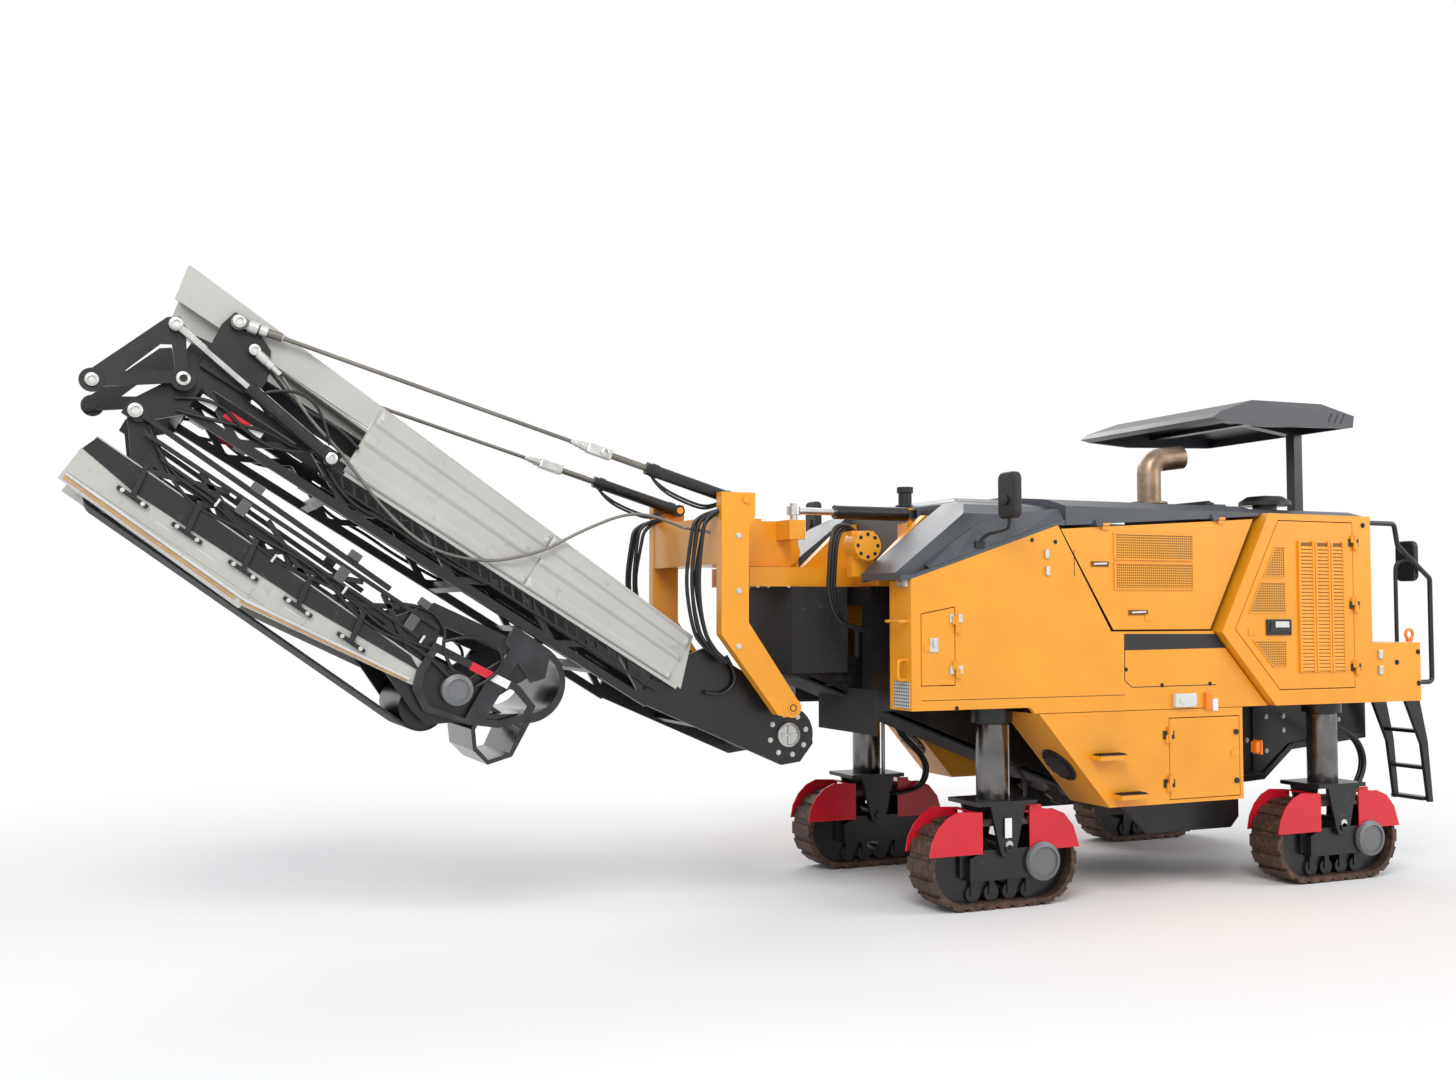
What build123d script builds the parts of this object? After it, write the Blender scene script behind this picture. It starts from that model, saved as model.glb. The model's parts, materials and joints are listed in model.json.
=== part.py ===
from build123d import *

import os
from math import cos, radians, sin

# Front-loading cold planer on four crawlers, with its discharge conveyor folded. Millimetres.
# The row frame stands on the ground under the middle of the machine: +X points to the rear, where the
# operator stands, -X to the folded conveyor in front, -Y is the machine's left side and +Z is up.

# ------------------------------------------------------------------ driving dimensions
FRONT_AXLE_X = 874.2  # front steering columns, from the middle of the whole machine
WHEELBASE = 2600.0
DRAWN_WHEELBASE = 2600.0  # the wheelbase at which the body's stations are given
BODY_SPLIT = 900.0  # stations further back than this move with the rear axle
FRONT_GAUGE = 1600.0  # between the track centres of a pair
REAR_GAUGE = 1920.0
BODY_WIDTH = 2320.0  # over the rear cabinets
PANEL_INSET = 60.0  # front and middle side panels lie this far inside the rear cabinets
WALL = 30.0  # a body wall or door, skin and stiffener together
DOOR_GAP = 6.0
SEAT_GAP = 0.3  # between pieces that rest on each other
FIT_GAP = 0.5  # round a pin, rod or column that turns or slides

BODY_BOTTOM = 1205.0
FLOOR_Z = 1560.0  # top of the operator's floor

TRACK_LENGTH = 1090.0
TRACK_HEIGHT = 550.0
TRACK_WIDTH = 260.0
SHOE_HEIGHT = 16.0
BELT_THICKNESS = 26.0
SHOES_ROUND_END = 7
SHOES_STRAIGHT = 5
COLUMN_DIAMETER = 196.0
SLEEVE_DIAMETER = 262.0
FORK_TOP = 660.0
FORK_PIN_Z = 370.0
FORK_PIN_RADIUS = 27.0
ROLLER_RADIUS, ROLLER_PITCH = 52.0, 135.0

DRUM_WIDTH = 1300.0
DRUM_CORE_RADIUS = 395.0
DRUM_CUT_RADIUS = 470.0
DRUM_Z = 850.0
DRUM_REAR_OFFSET = 1075.0  # from the drum's axis back to the rear axle
HOUSING_LENGTH = 1120.0
HOUSING_SIDE = 30.0
HOUSING_BOTTOM = 345.0
DRUM_SIDE_GAP = 25.0
CHUTE_HALF = 300.0  # half the width of the first conveyor

CONVEYOR_ANGLE = 31.7
FOLD_ANGLE = 34.2  # the folded section's slope
TAIL_X, TAIL_Z = -1237.0, 1068.0  # tail drum's axis, from the front axle
BELT_HALF = 290.0
FRAME_INNER, FRAME_OUTER = 385.0, 420.0
COVER_THICKNESS = 20.0
DRUM_RADIUS = 128.0  # conveyor drums
CONVEYOR_BELT = 14.0
# Pins of the discharge conveyor: along its line from the tail drum, and above it.
FOLD_HINGE = (4140.0, -444.0)
PLATE_PIVOT = (4037.0, -180.0)
PLATE_TOP_PIN = (4218.0, 33.0)
PLATE_FRONT_PIN = (4388.0, -438.0)
FOLD_FOOT = (3196.0, -118.0)
STAY_ANCHOR = (3974.0, 232.0)
LUFF_PIN = (147.0, 118.0)
FOLD_BARREL = 560.0
FOLD_BARREL_RADIUS, FOLD_ROD_RADIUS = 36.0, 18.0
LINK_PIN_RADIUS = 22.0  # pins of the conveyor's cylinders and of the fold

SLEW_X = -1286.0  # slewing axis, from the front axle
SLEW_PIN_RADIUS = 60.0
STAY_FOOT = (-1606.0, 2498.0)
ARM_INNER, ARM_OUTER = 530.0, 610.0
STAY_Y = 486.0
STAY_BARREL, STAY_BARREL_RADIUS, STAY_ROD_RADIUS = 620.0, 38.0, 20.0
ROPE_RADIUS = 12.0

HALF = BODY_WIDTH / 2
PANEL_HALF = HALF - PANEL_INSET
LEFT, RIGHT = -1, 1
SIDES = (("left", LEFT), ("right", RIGHT))


def at(offset):
    """Row X of a station given from the front axle. The rear half keeps its place to the rear axle."""
    stretch = WHEELBASE - DRAWN_WHEELBASE if offset > BODY_SPLIT else 0.0
    return FRONT_AXLE_X + offset + stretch


def rear(offset):
    """Row X of a station given from the rear axle."""
    return FRONT_AXLE_X + WHEELBASE + offset


DRUM_X = rear(-DRUM_REAR_OFFSET)
HOUSING_FRONT = DRUM_X - HOUSING_LENGTH / 2
HOUSING_REAR = DRUM_X + HOUSING_LENGTH / 2
HOUSING_INNER = DRUM_WIDTH / 2 + DRUM_SIDE_GAP
HOUSING_OUTER = HOUSING_INNER + HOUSING_SIDE
BODY_FRONT = at(-760)
BODY_REAR = at(3330)

# Planes of the two conveyor sections: local x runs along the belt, local y is square to it.
REAR_SECTION = Plane(
    origin=(at(TAIL_X), 0, TAIL_Z),
    x_dir=(-cos(radians(CONVEYOR_ANGLE)), 0, sin(radians(CONVEYOR_ANGLE))),
    z_dir=(0, 1, 0),
)
FOLD_CENTRE = REAR_SECTION.from_local_coords((*FOLD_HINGE, 0))
FOLD_SECTION = Plane(
    origin=FOLD_CENTRE,
    x_dir=(cos(radians(FOLD_ANGLE)), 0, -sin(radians(FOLD_ANGLE))),
    z_dir=(0, 1, 0),
)


def span(side, inner, outer):
    """Low and high Y of a layer that lies between two distances from the middle."""
    return (inner, outer) if side == RIGHT else (-outer, -inner)


def block(x0, x1, y0, y1, z0, z1, mode=Mode.ADD):
    """A box between its corners."""
    with Locations(((x0 + x1) / 2, (y0 + y1) / 2, (z0 + z1) / 2)):
        Box(abs(x1 - x0), abs(y1 - y0), abs(z1 - z0), mode=mode)


def plate(outline, y0, y1, mode=Mode.ADD):
    """An outline of (X, Z) points, as thick as from Y y0 to y1."""
    with BuildSketch(Plane.XZ.offset(-y1)) as profile:
        with BuildLine():
            Polyline(*outline, close=True)
        make_face()
    extrude(profile.sketch, amount=y1 - y0, mode=mode)


def section_plate(section, outline, y0, y1, mode=Mode.ADD):
    """An outline in a conveyor section's own axes, from Y y0 to y1."""
    with BuildSketch(section.offset(y0)) as profile:
        with BuildLine():
            Polyline(*outline, close=True)
        make_face()
    extrude(profile.sketch, amount=y1 - y0, mode=mode)


def section_block(section, x0, x1, n0, n1, y0, y1, mode=Mode.ADD):
    section_plate(section, [(x0, n0), (x1, n0), (x1, n1), (x0, n1)], y0, y1, mode)


def section_disc(section, centre, radius, y0, y1, mode=Mode.ADD):
    with BuildSketch(section.offset(y0)) as profile:
        with Locations(centre):
            Circle(radius)
    extrude(profile.sketch, amount=y1 - y0, mode=mode)


def disc(x, z, radius, y0, y1, mode=Mode.ADD):
    """A cylinder along Y."""
    with BuildSketch(Plane.XZ.offset(-y1)) as profile:
        with Locations((x, z)):
            Circle(radius)
    extrude(profile.sketch, amount=y1 - y0, mode=mode)


def post(x, y, radius, z0, z1, mode=Mode.ADD):
    """A cylinder along Z."""
    with BuildSketch(Plane.XY.offset(z0)) as profile:
        with Locations((x, y)):
            Circle(radius)
    extrude(profile.sketch, amount=z1 - z0, mode=mode)


def bar(points, bend, radius, bore=0.0):
    """A round bar or tube along straight runs joined by arcs."""
    with BuildLine() as path:
        FilletPolyline(*points, radius=bend)
    with BuildSketch(Plane(path.line @ 0, z_dir=path.line % 0)) as profile:
        Circle(radius)
        if bore:
            Circle(bore, mode=Mode.SUBTRACT)
    sweep(profile.sketch, path=path.line)


def rod(start, end, radius, mode=Mode.ADD):
    """A cylinder from one point to another."""
    run = Vector(*end) - Vector(*start)
    with BuildSketch(Plane(start, z_dir=run)) as profile:
        Circle(radius)
    extrude(profile.sketch, amount=run.length, mode=mode)


def save(builder, name):
    os.makedirs("parts", exist_ok=True)
    builder.part.label = name
    export_step(builder.part, f"parts/{name}.step")


# ------------------------------------------------------------------ crawlers
def make_track(name, x, y):
    """The belt of shoes: one loop, with each shoe standing out of it."""
    belt_length = TRACK_LENGTH - 2 * SHOE_HEIGHT
    belt_height = TRACK_HEIGHT - 2 * SHOE_HEIGHT
    radius = belt_height / 2
    straight = belt_length - belt_height
    shoe, round_shoe_height = 82.0, 2 * SHOE_HEIGHT - 8
    with BuildPart() as track:
        with BuildSketch(Plane.XZ.offset(-(y + TRACK_WIDTH / 2))):
            with Locations((x, TRACK_HEIGHT / 2)):
                SlotOverall(belt_length, belt_height)
            for i in range(SHOES_STRAIGHT):
                along = (i + 0.5) / SHOES_STRAIGHT * straight - straight / 2
                for up in (-1, 1):
                    with Locations((x + along, TRACK_HEIGHT / 2 + up * radius)):
                        Rectangle(shoe, 2 * SHOE_HEIGHT)
            for end in (-1, 1):
                for i in range(SHOES_ROUND_END):
                    turn = (i + 0.5) / SHOES_ROUND_END * 180 - 90
                    across = x + end * (straight / 2 + radius * cos(radians(turn)))
                    up = TRACK_HEIGHT / 2 + radius * sin(radians(turn))
                    with Locations(Location((across, up), end * turn)):
                        Rectangle(round_shoe_height, shoe)
            with Locations((x, TRACK_HEIGHT / 2)):
                SlotOverall(
                    belt_length - 2 * BELT_THICKNESS,
                    belt_height - 2 * BELT_THICKNESS,
                    mode=Mode.SUBTRACT,
                )
        extrude(amount=TRACK_WIDTH)
    save(track, f"{name}_track")


def make_track_frame(name, x, y, side):
    """Beam, wheels, rollers and motor inside the track."""
    inner_radius = TRACK_HEIGHT / 2 - SHOE_HEIGHT - BELT_THICKNESS
    wheel_offset = TRACK_LENGTH / 2 - TRACK_HEIGHT / 2
    middle = TRACK_HEIGHT / 2
    cover = TRACK_WIDTH / 2 + 5
    with BuildPart() as frame:
        block(x - 300, x + 300, y - 90, y + 90, middle - 75, middle + 85)
        for end in (-1, 1):
            disc(x + end * wheel_offset, middle, inner_radius - SEAT_GAP, y - 62, y + 62)
        for i in range(4):
            roller_x = x + (i - 1.5) * ROLLER_PITCH
            roller_z = middle - inner_radius + ROLLER_RADIUS + SEAT_GAP
            disc(roller_x, roller_z, ROLLER_RADIUS, y - 80, y + 80)
            block(roller_x - 20, roller_x + 20, y - 88, y + 88, roller_z - 10, middle - 60)
        for face in (-1, 1):
            y0, y1 = sorted((y + face * 60, y + face * cover))
            plate(
                [
                    (x - 255, middle - 95),
                    (x + 200, middle - 95),
                    (x + 225, middle - 60),
                    (x + 225, middle + 90),
                    (x - 150, middle + 90),
                    (x - 255, middle + 40),
                ],
                y0,
                y1,
            )
        y0, y1 = sorted((y + side * 60, y + side * (cover + 10)))
        plate(
            [
                (x + 232, middle - 40),
                (x + 300, middle - 110),
                (x + 370, middle - 40),
                (x + 370, middle + 65),
                (x + 232, middle + 65),
            ],
            y0,
            y1,
        )
        disc(x, FORK_PIN_Z, 62, y - cover, y + cover)
        disc(x, FORK_PIN_Z, FORK_PIN_RADIUS + FIT_GAP, y - cover, y + cover, mode=Mode.SUBTRACT)
    save(frame, f"{name}_track_frame")


def make_leg(name, x, y):
    """Lifting column with the fork and pin that carry the track."""
    cheek_inner = TRACK_WIDTH / 2 + 20
    cheek_outer = cheek_inner + 22
    with BuildPart() as leg:
        post(x, y, COLUMN_DIAMETER / 2, FORK_TOP - 20, BODY_BOTTOM + 520)
        block(x - 215, x + 215, y - cheek_outer, y + cheek_outer, FORK_TOP - 26, FORK_TOP)
        for face in (-1, 1):
            y0, y1 = sorted((y + face * cheek_inner, y + face * cheek_outer))
            plate(
                [
                    (x - 135, FORK_TOP),
                    (x + 135, FORK_TOP),
                    (x + 62, FORK_PIN_Z),
                    (x + 44, FORK_PIN_Z - 44),
                    (x, FORK_PIN_Z - 62),
                    (x - 44, FORK_PIN_Z - 44),
                    (x - 62, FORK_PIN_Z),
                ],
                y0,
                y1,
            )
        disc(x, FORK_PIN_Z, FORK_PIN_RADIUS, y - cheek_outer - 12, y + cheek_outer + 12)
    save(leg, f"{name}_leg")


def make_fenders(name, x, y):
    """Red guards over both ends of the track."""
    inner = TRACK_WIDTH / 2 + 5 + SEAT_GAP
    outer = inner + 8
    top = TRACK_HEIGHT + 58
    with BuildPart() as guards:
        for face in (-1, 1):
            y0, y1 = sorted((y + face * inner, y + face * outer))
            plate(
                [
                    (x - 548, 345),
                    (x - 530, 435),
                    (x - 485, 515),
                    (x - 420, 575),
                    (x - 345, top),
                    (x - 168, top - 10),
                    (x - 168, 345),
                ],
                y0,
                y1,
            )
            plate(
                [
                    (x + 178, 345),
                    (x + 178, top + 18),
                    (x + 262, top + 18),
                    (x + 270, top - 12),
                    (x + 350, top - 12),
                    (x + 440, 560),
                    (x + 510, 480),
                    (x + 555, 345),
                ],
                y0,
                y1,
            )
        block(x - 205, x - 168, y - outer, y + outer, top - 18, top - 10)
        block(x + 178, x + 300, y - outer, y + outer, top - 20, top - 12)
    save(guards, f"{name}_fenders")


def make_crawlers():
    for end, x, gauge in (("front", at(0), FRONT_GAUGE), ("rear", rear(0), REAR_GAUGE)):
        for word, side in SIDES:
            name = f"{end}_{word}"
            y = side * gauge / 2
            make_track(name, x, y)
            make_track_frame(name, x, y, side)
            make_leg(name, x, y)
            make_fenders(name, x, y)


# ------------------------------------------------------------------ chassis, engine and drum
RAIL_INNER, RAIL_OUTER = 470.0, 590.0
RAIL_TOP = 1500.0
FRONT_BEAM_TOP = 1984.0
HOUSING_TOP = 1350.0
TOW_EYE_X, TOW_EYE_Y, TOW_EYE_Z = BODY_REAR + 50, 530.0, 1330.0
TOW_EYE_RADIUS, TOW_EYE_HEIGHT = 30.0, 50.0
SHAFT_RADIUS = 60.0  # the milling drum's shaft in its bearings


def make_chassis():
    """Rails, cross members and the sleeves that guide the four columns."""
    front0, front1 = BODY_FRONT + 20, BODY_FRONT + 150
    with BuildPart() as chassis:
        block(front0, front1, -RAIL_INNER, RAIL_INNER, FRONT_BEAM_TOP - 120, FRONT_BEAM_TOP)
        for _, side in SIDES:
            y0, y1 = span(side, RAIL_INNER, RAIL_OUTER)
            block(front0, BODY_REAR - 40, y0, y1, BODY_BOTTOM, RAIL_TOP)
            block(front0, front1, y0, y1, RAIL_TOP, FRONT_BEAM_TOP)
            arch0, arch1 = HOUSING_FRONT - 5, HOUSING_REAR + 5
            block(arch0, arch1, y0, y1, BODY_BOTTOM, HOUSING_TOP, mode=Mode.SUBTRACT)
            for x, gauge in ((at(0), FRONT_GAUGE), (rear(0), REAR_GAUGE)):
                y = side * gauge / 2
                g0, g1 = span(side, RAIL_OUTER, gauge / 2)
                block(x - 105, x + 105, g0, g1, BODY_BOTTOM + 20, RAIL_TOP)
                post(x, y, SLEEVE_DIAMETER / 2, BODY_BOTTOM - 70, BODY_BOTTOM + 500)
                bore = COLUMN_DIAMETER / 2 + FIT_GAP
                post(x, y, bore, BODY_BOTTOM - 80, BODY_BOTTOM + 540, mode=Mode.SUBTRACT)
        block(BODY_REAR - 170, BODY_REAR - 40, -RAIL_INNER, RAIL_INNER, BODY_BOTTOM, RAIL_TOP)
        for _, side in SIDES:
            y = side * TOW_EYE_Y
            z0, z1 = TOW_EYE_Z - TOW_EYE_HEIGHT / 2, TOW_EYE_Z + TOW_EYE_HEIGHT / 2
            block(BODY_REAR - 40, TOW_EYE_X, y - 55, y + 55, z0, z1)
            post(TOW_EYE_X, y, 55, z0, z1)
            post(TOW_EYE_X, y, TOW_EYE_RADIUS, z0, z1, mode=Mode.SUBTRACT)
        block(at(2200), at(2320), -RAIL_INNER, RAIL_INNER, BODY_BOTTOM, RAIL_TOP)
        block(at(330), at(450), -RAIL_INNER, RAIL_INNER, HOUSING_TOP, RAIL_TOP)
    save(chassis, "chassis_frame")

    with BuildPart() as engine:
        block(at(560), at(1700), -RAIL_OUTER, RAIL_OUTER, RAIL_TOP + SEAT_GAP, 2330)
        chamfer(engine.edges().filter_by(Axis.X).group_by(Axis.Z)[-1], 160)
    save(engine, "engine_block")


def make_drum():
    """Box round the milling drum, open below, and the drum in its bearings."""
    front0, front1 = HOUSING_FRONT, HOUSING_FRONT + 25
    rear0, rear1 = HOUSING_REAR - 25, HOUSING_REAR
    top = HOUSING_TOP - SEAT_GAP
    with BuildPart() as housing:
        for _, side in SIDES:
            y0, y1 = span(side, HOUSING_INNER, HOUSING_OUTER)
            plate(
                [
                    (front0, 640),
                    (front0 + 330, HOUSING_BOTTOM),
                    (rear1 - 70, HOUSING_BOTTOM),
                    (rear1, HOUSING_BOTTOM + 70),
                    (rear1, top),
                    (front0, top),
                ],
                y0,
                y1,
            )
            y0, y1 = span(side, CHUTE_HALF + 25, HOUSING_INNER)
            block(front0, front1, y0, y1, 640, top)
        block(front0, front1, -HOUSING_INNER, HOUSING_INNER, 1080, top)
        block(rear0, rear1, -HOUSING_INNER, HOUSING_INNER, HOUSING_BOTTOM + 70, top)
        block(front0, rear1, -HOUSING_INNER, HOUSING_INNER, DRUM_Z + DRUM_CUT_RADIUS + 8, top)
        bearing = SHAFT_RADIUS + FIT_GAP
        disc(DRUM_X, DRUM_Z, bearing, -HOUSING_OUTER, HOUSING_OUTER, mode=Mode.SUBTRACT)
    save(housing, "drum_housing")

    half = DRUM_WIDTH / 2
    flights = 14
    with BuildPart() as drum:
        disc(DRUM_X, DRUM_Z, DRUM_CORE_RADIUS, -half, half)
        disc(DRUM_X, DRUM_Z, SHAFT_RADIUS, -HOUSING_OUTER + 2, HOUSING_OUTER - 2)
        for i in range(flights):
            y = (i + 0.5) / flights * DRUM_WIDTH - half
            turn = 137.5 * i
            with BuildSketch(Plane.XZ.offset(-(y + 22))):
                with Locations((DRUM_X, DRUM_Z)):
                    with PolarLocations((DRUM_CORE_RADIUS + DRUM_CUT_RADIUS) / 2 - 14, 6, turn):
                        Rectangle(DRUM_CUT_RADIUS - DRUM_CORE_RADIUS + 12, 70)
            extrude(amount=44)
    save(drum, "milling_drum")


FEED_FOOT = (930.0, 740.0)  # first conveyor: drum end and head end, from the front axle
FEED_HEAD = (-1010.0, 1500.0)
FEED_RADIUS = 95.0


def make_feed_conveyor():
    """First conveyor, from the drum up to the slewing one: trough sides and belt."""
    run = Vector(at(FEED_HEAD[0]) - at(FEED_FOOT[0]), 0, FEED_HEAD[1] - FEED_FOOT[1])
    feed = Plane(origin=(at(FEED_FOOT[0]), 0, FEED_FOOT[1]), x_dir=run, z_dir=(0, 1, 0))
    length = run.length
    with BuildPart() as conveyor:
        for _, side in SIDES:
            y0, y1 = span(side, CHUTE_HALF - 25, CHUTE_HALF)
            section_block(feed, -50, length + 60, -80, 150, y0, y1)
        for along in (0.0, length):
            section_disc(feed, (along, 0), FEED_RADIUS - SEAT_GAP, -CHUTE_HALF + 45, CHUTE_HALF - 45)
            section_disc(feed, (along, 0), 25, -CHUTE_HALF + 20, CHUTE_HALF - 20)
        section_disc(feed, (0.8 * length, 0), 30, -RAIL_INNER + SEAT_GAP, RAIL_INNER - SEAT_GAP)
    save(conveyor, "feed_conveyor")

    half = CHUTE_HALF - 40
    with BuildPart() as belt:
        with BuildSketch(feed.offset(-half)):
            with Locations((length / 2, 0)):
                SlotCenterToCenter(length, 2 * (FEED_RADIUS + CONVEYOR_BELT))
                SlotCenterToCenter(length, 2 * FEED_RADIUS, mode=Mode.SUBTRACT)
        extrude(amount=2 * half)
    save(belt, "feed_belt")


# ------------------------------------------------------------------ body
# Door outlines in X and Z from the front axle and the ground.
LOUVRE_DOOR = [(2042, 2430), (2704, 2430), (2704, 1312), (2032, 1312), (1660, 1712)]
LOWER_DOOR = [(1152, 1140), (1728, 1140), (1728, 628), (1152, 628)]
NOSE_DOOR = [(-690, 1810), (-462, 1850), (-462, 1390), (-690, 1390)]
ENGINE_DOOR = [(322, 2340), (1880, 2440), (1500, 1712), (716, 1712)]
CABINET_SIDE = [
    (1546, 1693),
    (1994, 1205),
    (3330, 1205),
    (3330, 1610),
    (2876, 1610),
    (2876, 2480),
    (1960, 2480),
]
CABINET_INNER = 760.0
LOWER_BOX_SIDE = [(145, 1198), (670, 600), (1760, 600), (1760, 1198)]
HINGE_RADIUS = 11.0
HINGE_LENGTH = 50.0
HINGE_STANDOFF = 15.0  # hinge line outside the door's face


def placed(outline):
    return [(at(x), z) for x, z in outline]


def door_slab(outline, side, outer, gap=0.0, depth=WALL, taper=0.0, mode=Mode.ADD):
    """A door, or the wider hole that it closes, flush with the outer face and narrower inside."""
    face = Plane(origin=(0, side * outer, 0), x_dir=(1, 0, 0), z_dir=(0, -side, 0))
    with BuildSketch(face) as profile:
        with BuildLine():
            Polyline(*[(x, side * z) for x, z in placed(outline)], close=True)
        make_face()
        if gap:
            offset(amount=gap, kind=Kind.INTERSECTION)
    extrude(profile.sketch, amount=depth, taper=taper, mode=mode)


def knuckle(start, end, leaf, side, outer):
    """Half a hinge: a barrel between two (X, Z) points outside the face, and its leaf."""
    y = side * (outer + HINGE_STANDOFF)
    rod((at(start[0]), y, start[1]), (at(end[0]), y, end[1]), HINGE_RADIUS)
    y0, y1 = span(side, outer, outer + HINGE_STANDOFF)
    (x0, z0), (x1, z1) = start, end
    far0, far1 = (x0 + leaf[0], z0 + leaf[1]), (x1 + leaf[0], z1 + leaf[1])
    plate(placed([start, end, far1, far0]), y0, y1)


def hinges(line, stations, leaf, side, outer, of_door):
    """Knuckles along a hinge line. The door's stands above or past the body's by a hair."""
    (x0, z0), (x1, z1) = line
    run = Vector(x1 - x0, z1 - z0)
    unit = run.normalized()
    for station in stations:
        middle = Vector(x0, z0) + run * station
        near = SEAT_GAP / 2 if of_door else -SEAT_GAP / 2
        far = near + (HINGE_LENGTH if of_door else -HINGE_LENGTH)
        a, b = middle + unit * near, middle + unit * far
        sign = 1 if of_door else -1
        knuckle((a.X, a.Y), (b.X, b.Y), (sign * leaf[0], sign * leaf[1]), side, outer)


def make_side_panels():
    """Flat sides of the engine bay and nose, with the openings of their doors."""
    outline = [
        (-760, 1240),
        (-760, 2018),
        (300, 2362),
        (700, 1700),
        (1520, 1700),
        (1980, 1202),
        (114, 1202),
        (80, 1240),
    ]
    with BuildPart() as panels:
        for _, side in SIDES:
            y0, y1 = span(side, PANEL_HALF - WALL, PANEL_HALF)
            plate(placed(outline), y0, y1)
            y0, y1 = span(side, 850, PANEL_HALF - WALL)
            block(BODY_FRONT, BODY_FRONT + WALL, y0, y1, 1240, 2010)
            y0, y1 = span(side, RAIL_OUTER + SEAT_GAP, PANEL_HALF - WALL)
            block(at(500), at(560), y0, y1, 1300, 1420)
            block(at(-600), at(-540), y0, y1, 1300, 1420)
        door_slab(NOSE_DOOR, LEFT, PANEL_HALF, DOOR_GAP, WALL + 1, mode=Mode.SUBTRACT)
        hinges(NOSE_HINGE, NOSE_STATIONS, (-26, 0), LEFT, PANEL_HALF, of_door=False)
    save(panels, "side_panels")


def make_cabinets():
    """Hollow cabinets beside the operator, running back to the low rear boxes."""
    with BuildPart() as cabinets:
        for _, side in SIDES:
            y0, y1 = span(side, CABINET_INNER, HALF)
            plate(placed(CABINET_SIDE), y0, y1)
            y0, y1 = span(side, CABINET_INNER + WALL, HALF - WALL)
            with BuildSketch(Plane.XZ.offset(-y1)):
                with BuildLine():
                    Polyline(*placed(CABINET_SIDE), close=True)
                make_face()
                offset(amount=-WALL, kind=Kind.INTERSECTION)
            extrude(amount=y1 - y0, mode=Mode.SUBTRACT)
            door_slab(LOUVRE_DOOR, side, HALF, DOOR_GAP, WALL + 1, mode=Mode.SUBTRACT)
            y0, y1 = span(side, CABINET_INNER - 10, HALF - WALL)
            block(rear(-150), rear(150), y0, y1, BODY_BOTTOM - 10, RAIL_TOP + 20, mode=Mode.SUBTRACT)
            hinges(LOUVRE_HINGE, LOUVRE_STATIONS, (-30, 0), side, HALF, of_door=False)
    save(cabinets, "rear_cabinets")


def make_lower_boxes():
    """Boxes that hang beside the milling drum, each with a door and a slanted front."""
    inner = HOUSING_OUTER + SEAT_GAP
    with BuildPart() as boxes:
        for _, side in SIDES:
            y0, y1 = span(side, inner, PANEL_HALF)
            plate(placed(LOWER_BOX_SIDE), y0, y1)
            y0, y1 = span(side, inner + WALL, PANEL_HALF - WALL)
            with BuildSketch(Plane.XZ.offset(-y1)):
                with BuildLine():
                    Polyline(*placed(LOWER_BOX_SIDE), close=True)
                make_face()
                offset(amount=-WALL, kind=Kind.INTERSECTION)
            extrude(amount=y1 - y0, mode=Mode.SUBTRACT)
            door_slab(LOWER_DOOR, side, PANEL_HALF, DOOR_GAP, WALL + 1, mode=Mode.SUBTRACT)
            hinges(LOWER_HINGE, LOWER_STATIONS, (26, 0), side, PANEL_HALF, of_door=False)
            for x, z in ((640, 905), (800, 655)):
                y0, y1 = span(side, PANEL_HALF, PANEL_HALF + 95)
                block(at(x) - 110, at(x) + 110, y0, y1, z, z + 28)
    save(boxes, "lower_boxes")


# Hinge lines (two points), places of the hinges along them, as shares of the line.
LOUVRE_HINGE = ((2714, 1312), (2714, 2430))
LOUVRE_STATIONS = (0.12, 0.5, 0.88)
LOWER_HINGE = ((1142, 628), (1142, 1140))
LOWER_STATIONS = (0.2, 0.8)
NOSE_HINGE = ((-452, 1390), (-452, 1850))
NOSE_STATIONS = (0.2, 0.78)
ENGINE_HINGE = ((316, 2352), (1886, 2452.8))
ENGINE_STATIONS = (0.2, 0.8)


def make_doors():
    """Each door with its half of the hinges and a flush handle."""
    # name, outline, outer face, taper, hinge line, stations, leaf towards the door, handle
    doors = (
        ("louvre", LOUVRE_DOOR, HALF, 0, LOUVRE_HINGE, LOUVRE_STATIONS, (-30, 0), (1800, 1690)),
        ("lower", LOWER_DOOR, PANEL_HALF, 0, LOWER_HINGE, LOWER_STATIONS, (26, 0), (1690, 900)),
        ("nose", NOSE_DOOR, PANEL_HALF, 0, NOSE_HINGE, NOSE_STATIONS, (-26, 0), (-640, 1610)),
        ("engine", ENGINE_DOOR, PANEL_HALF, 35, ENGINE_HINGE, ENGINE_STATIONS, (2, -30), (1000, 1790)),
    )
    for name, outline, outer, taper, line, stations, leaf, handle in doors:
        for word, side in SIDES[:1] if name == "nose" else SIDES:
            with BuildPart() as door:
                door_slab(outline, side, outer, taper=taper)
                hinges(line, stations, leaf, side, outer, of_door=True)
                y0, y1 = span(side, outer, outer + 6)
                x, z = at(handle[0]), handle[1]
                block(x - 35, x + 35, y0, y1, z - 20, z + 20)
            save(door, f"{word}_{name}_door")


# ------------------------------------------------------------------ hoods and operator's place
def hood_section(edge_top, crown_top):
    """Cross-section of a hood in Y and Z: two sides, a chamfer each and a raised middle."""
    outer = [
        (-PANEL_HALF, 1990),
        (-PANEL_HALF, edge_top),
        (-900, edge_top + 0.55 * (crown_top - edge_top)),
        (-420, crown_top),
        (420, crown_top),
        (900, edge_top + 0.55 * (crown_top - edge_top)),
        (PANEL_HALF, edge_top),
        (PANEL_HALF, 1990),
    ]
    with BuildLine() as edge:
        Polyline(*outer, close=True)
    make_face(edge.line)


NOTCH_HALF = 620.0  # the open bay for the mast in the front hood
NOTCH_END = -235.0
HOOD_TOP = 2585.0
ROOF_TOP = 2520.0  # over the rear cabinets
ROOF_BOTTOM = 2480.0


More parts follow.
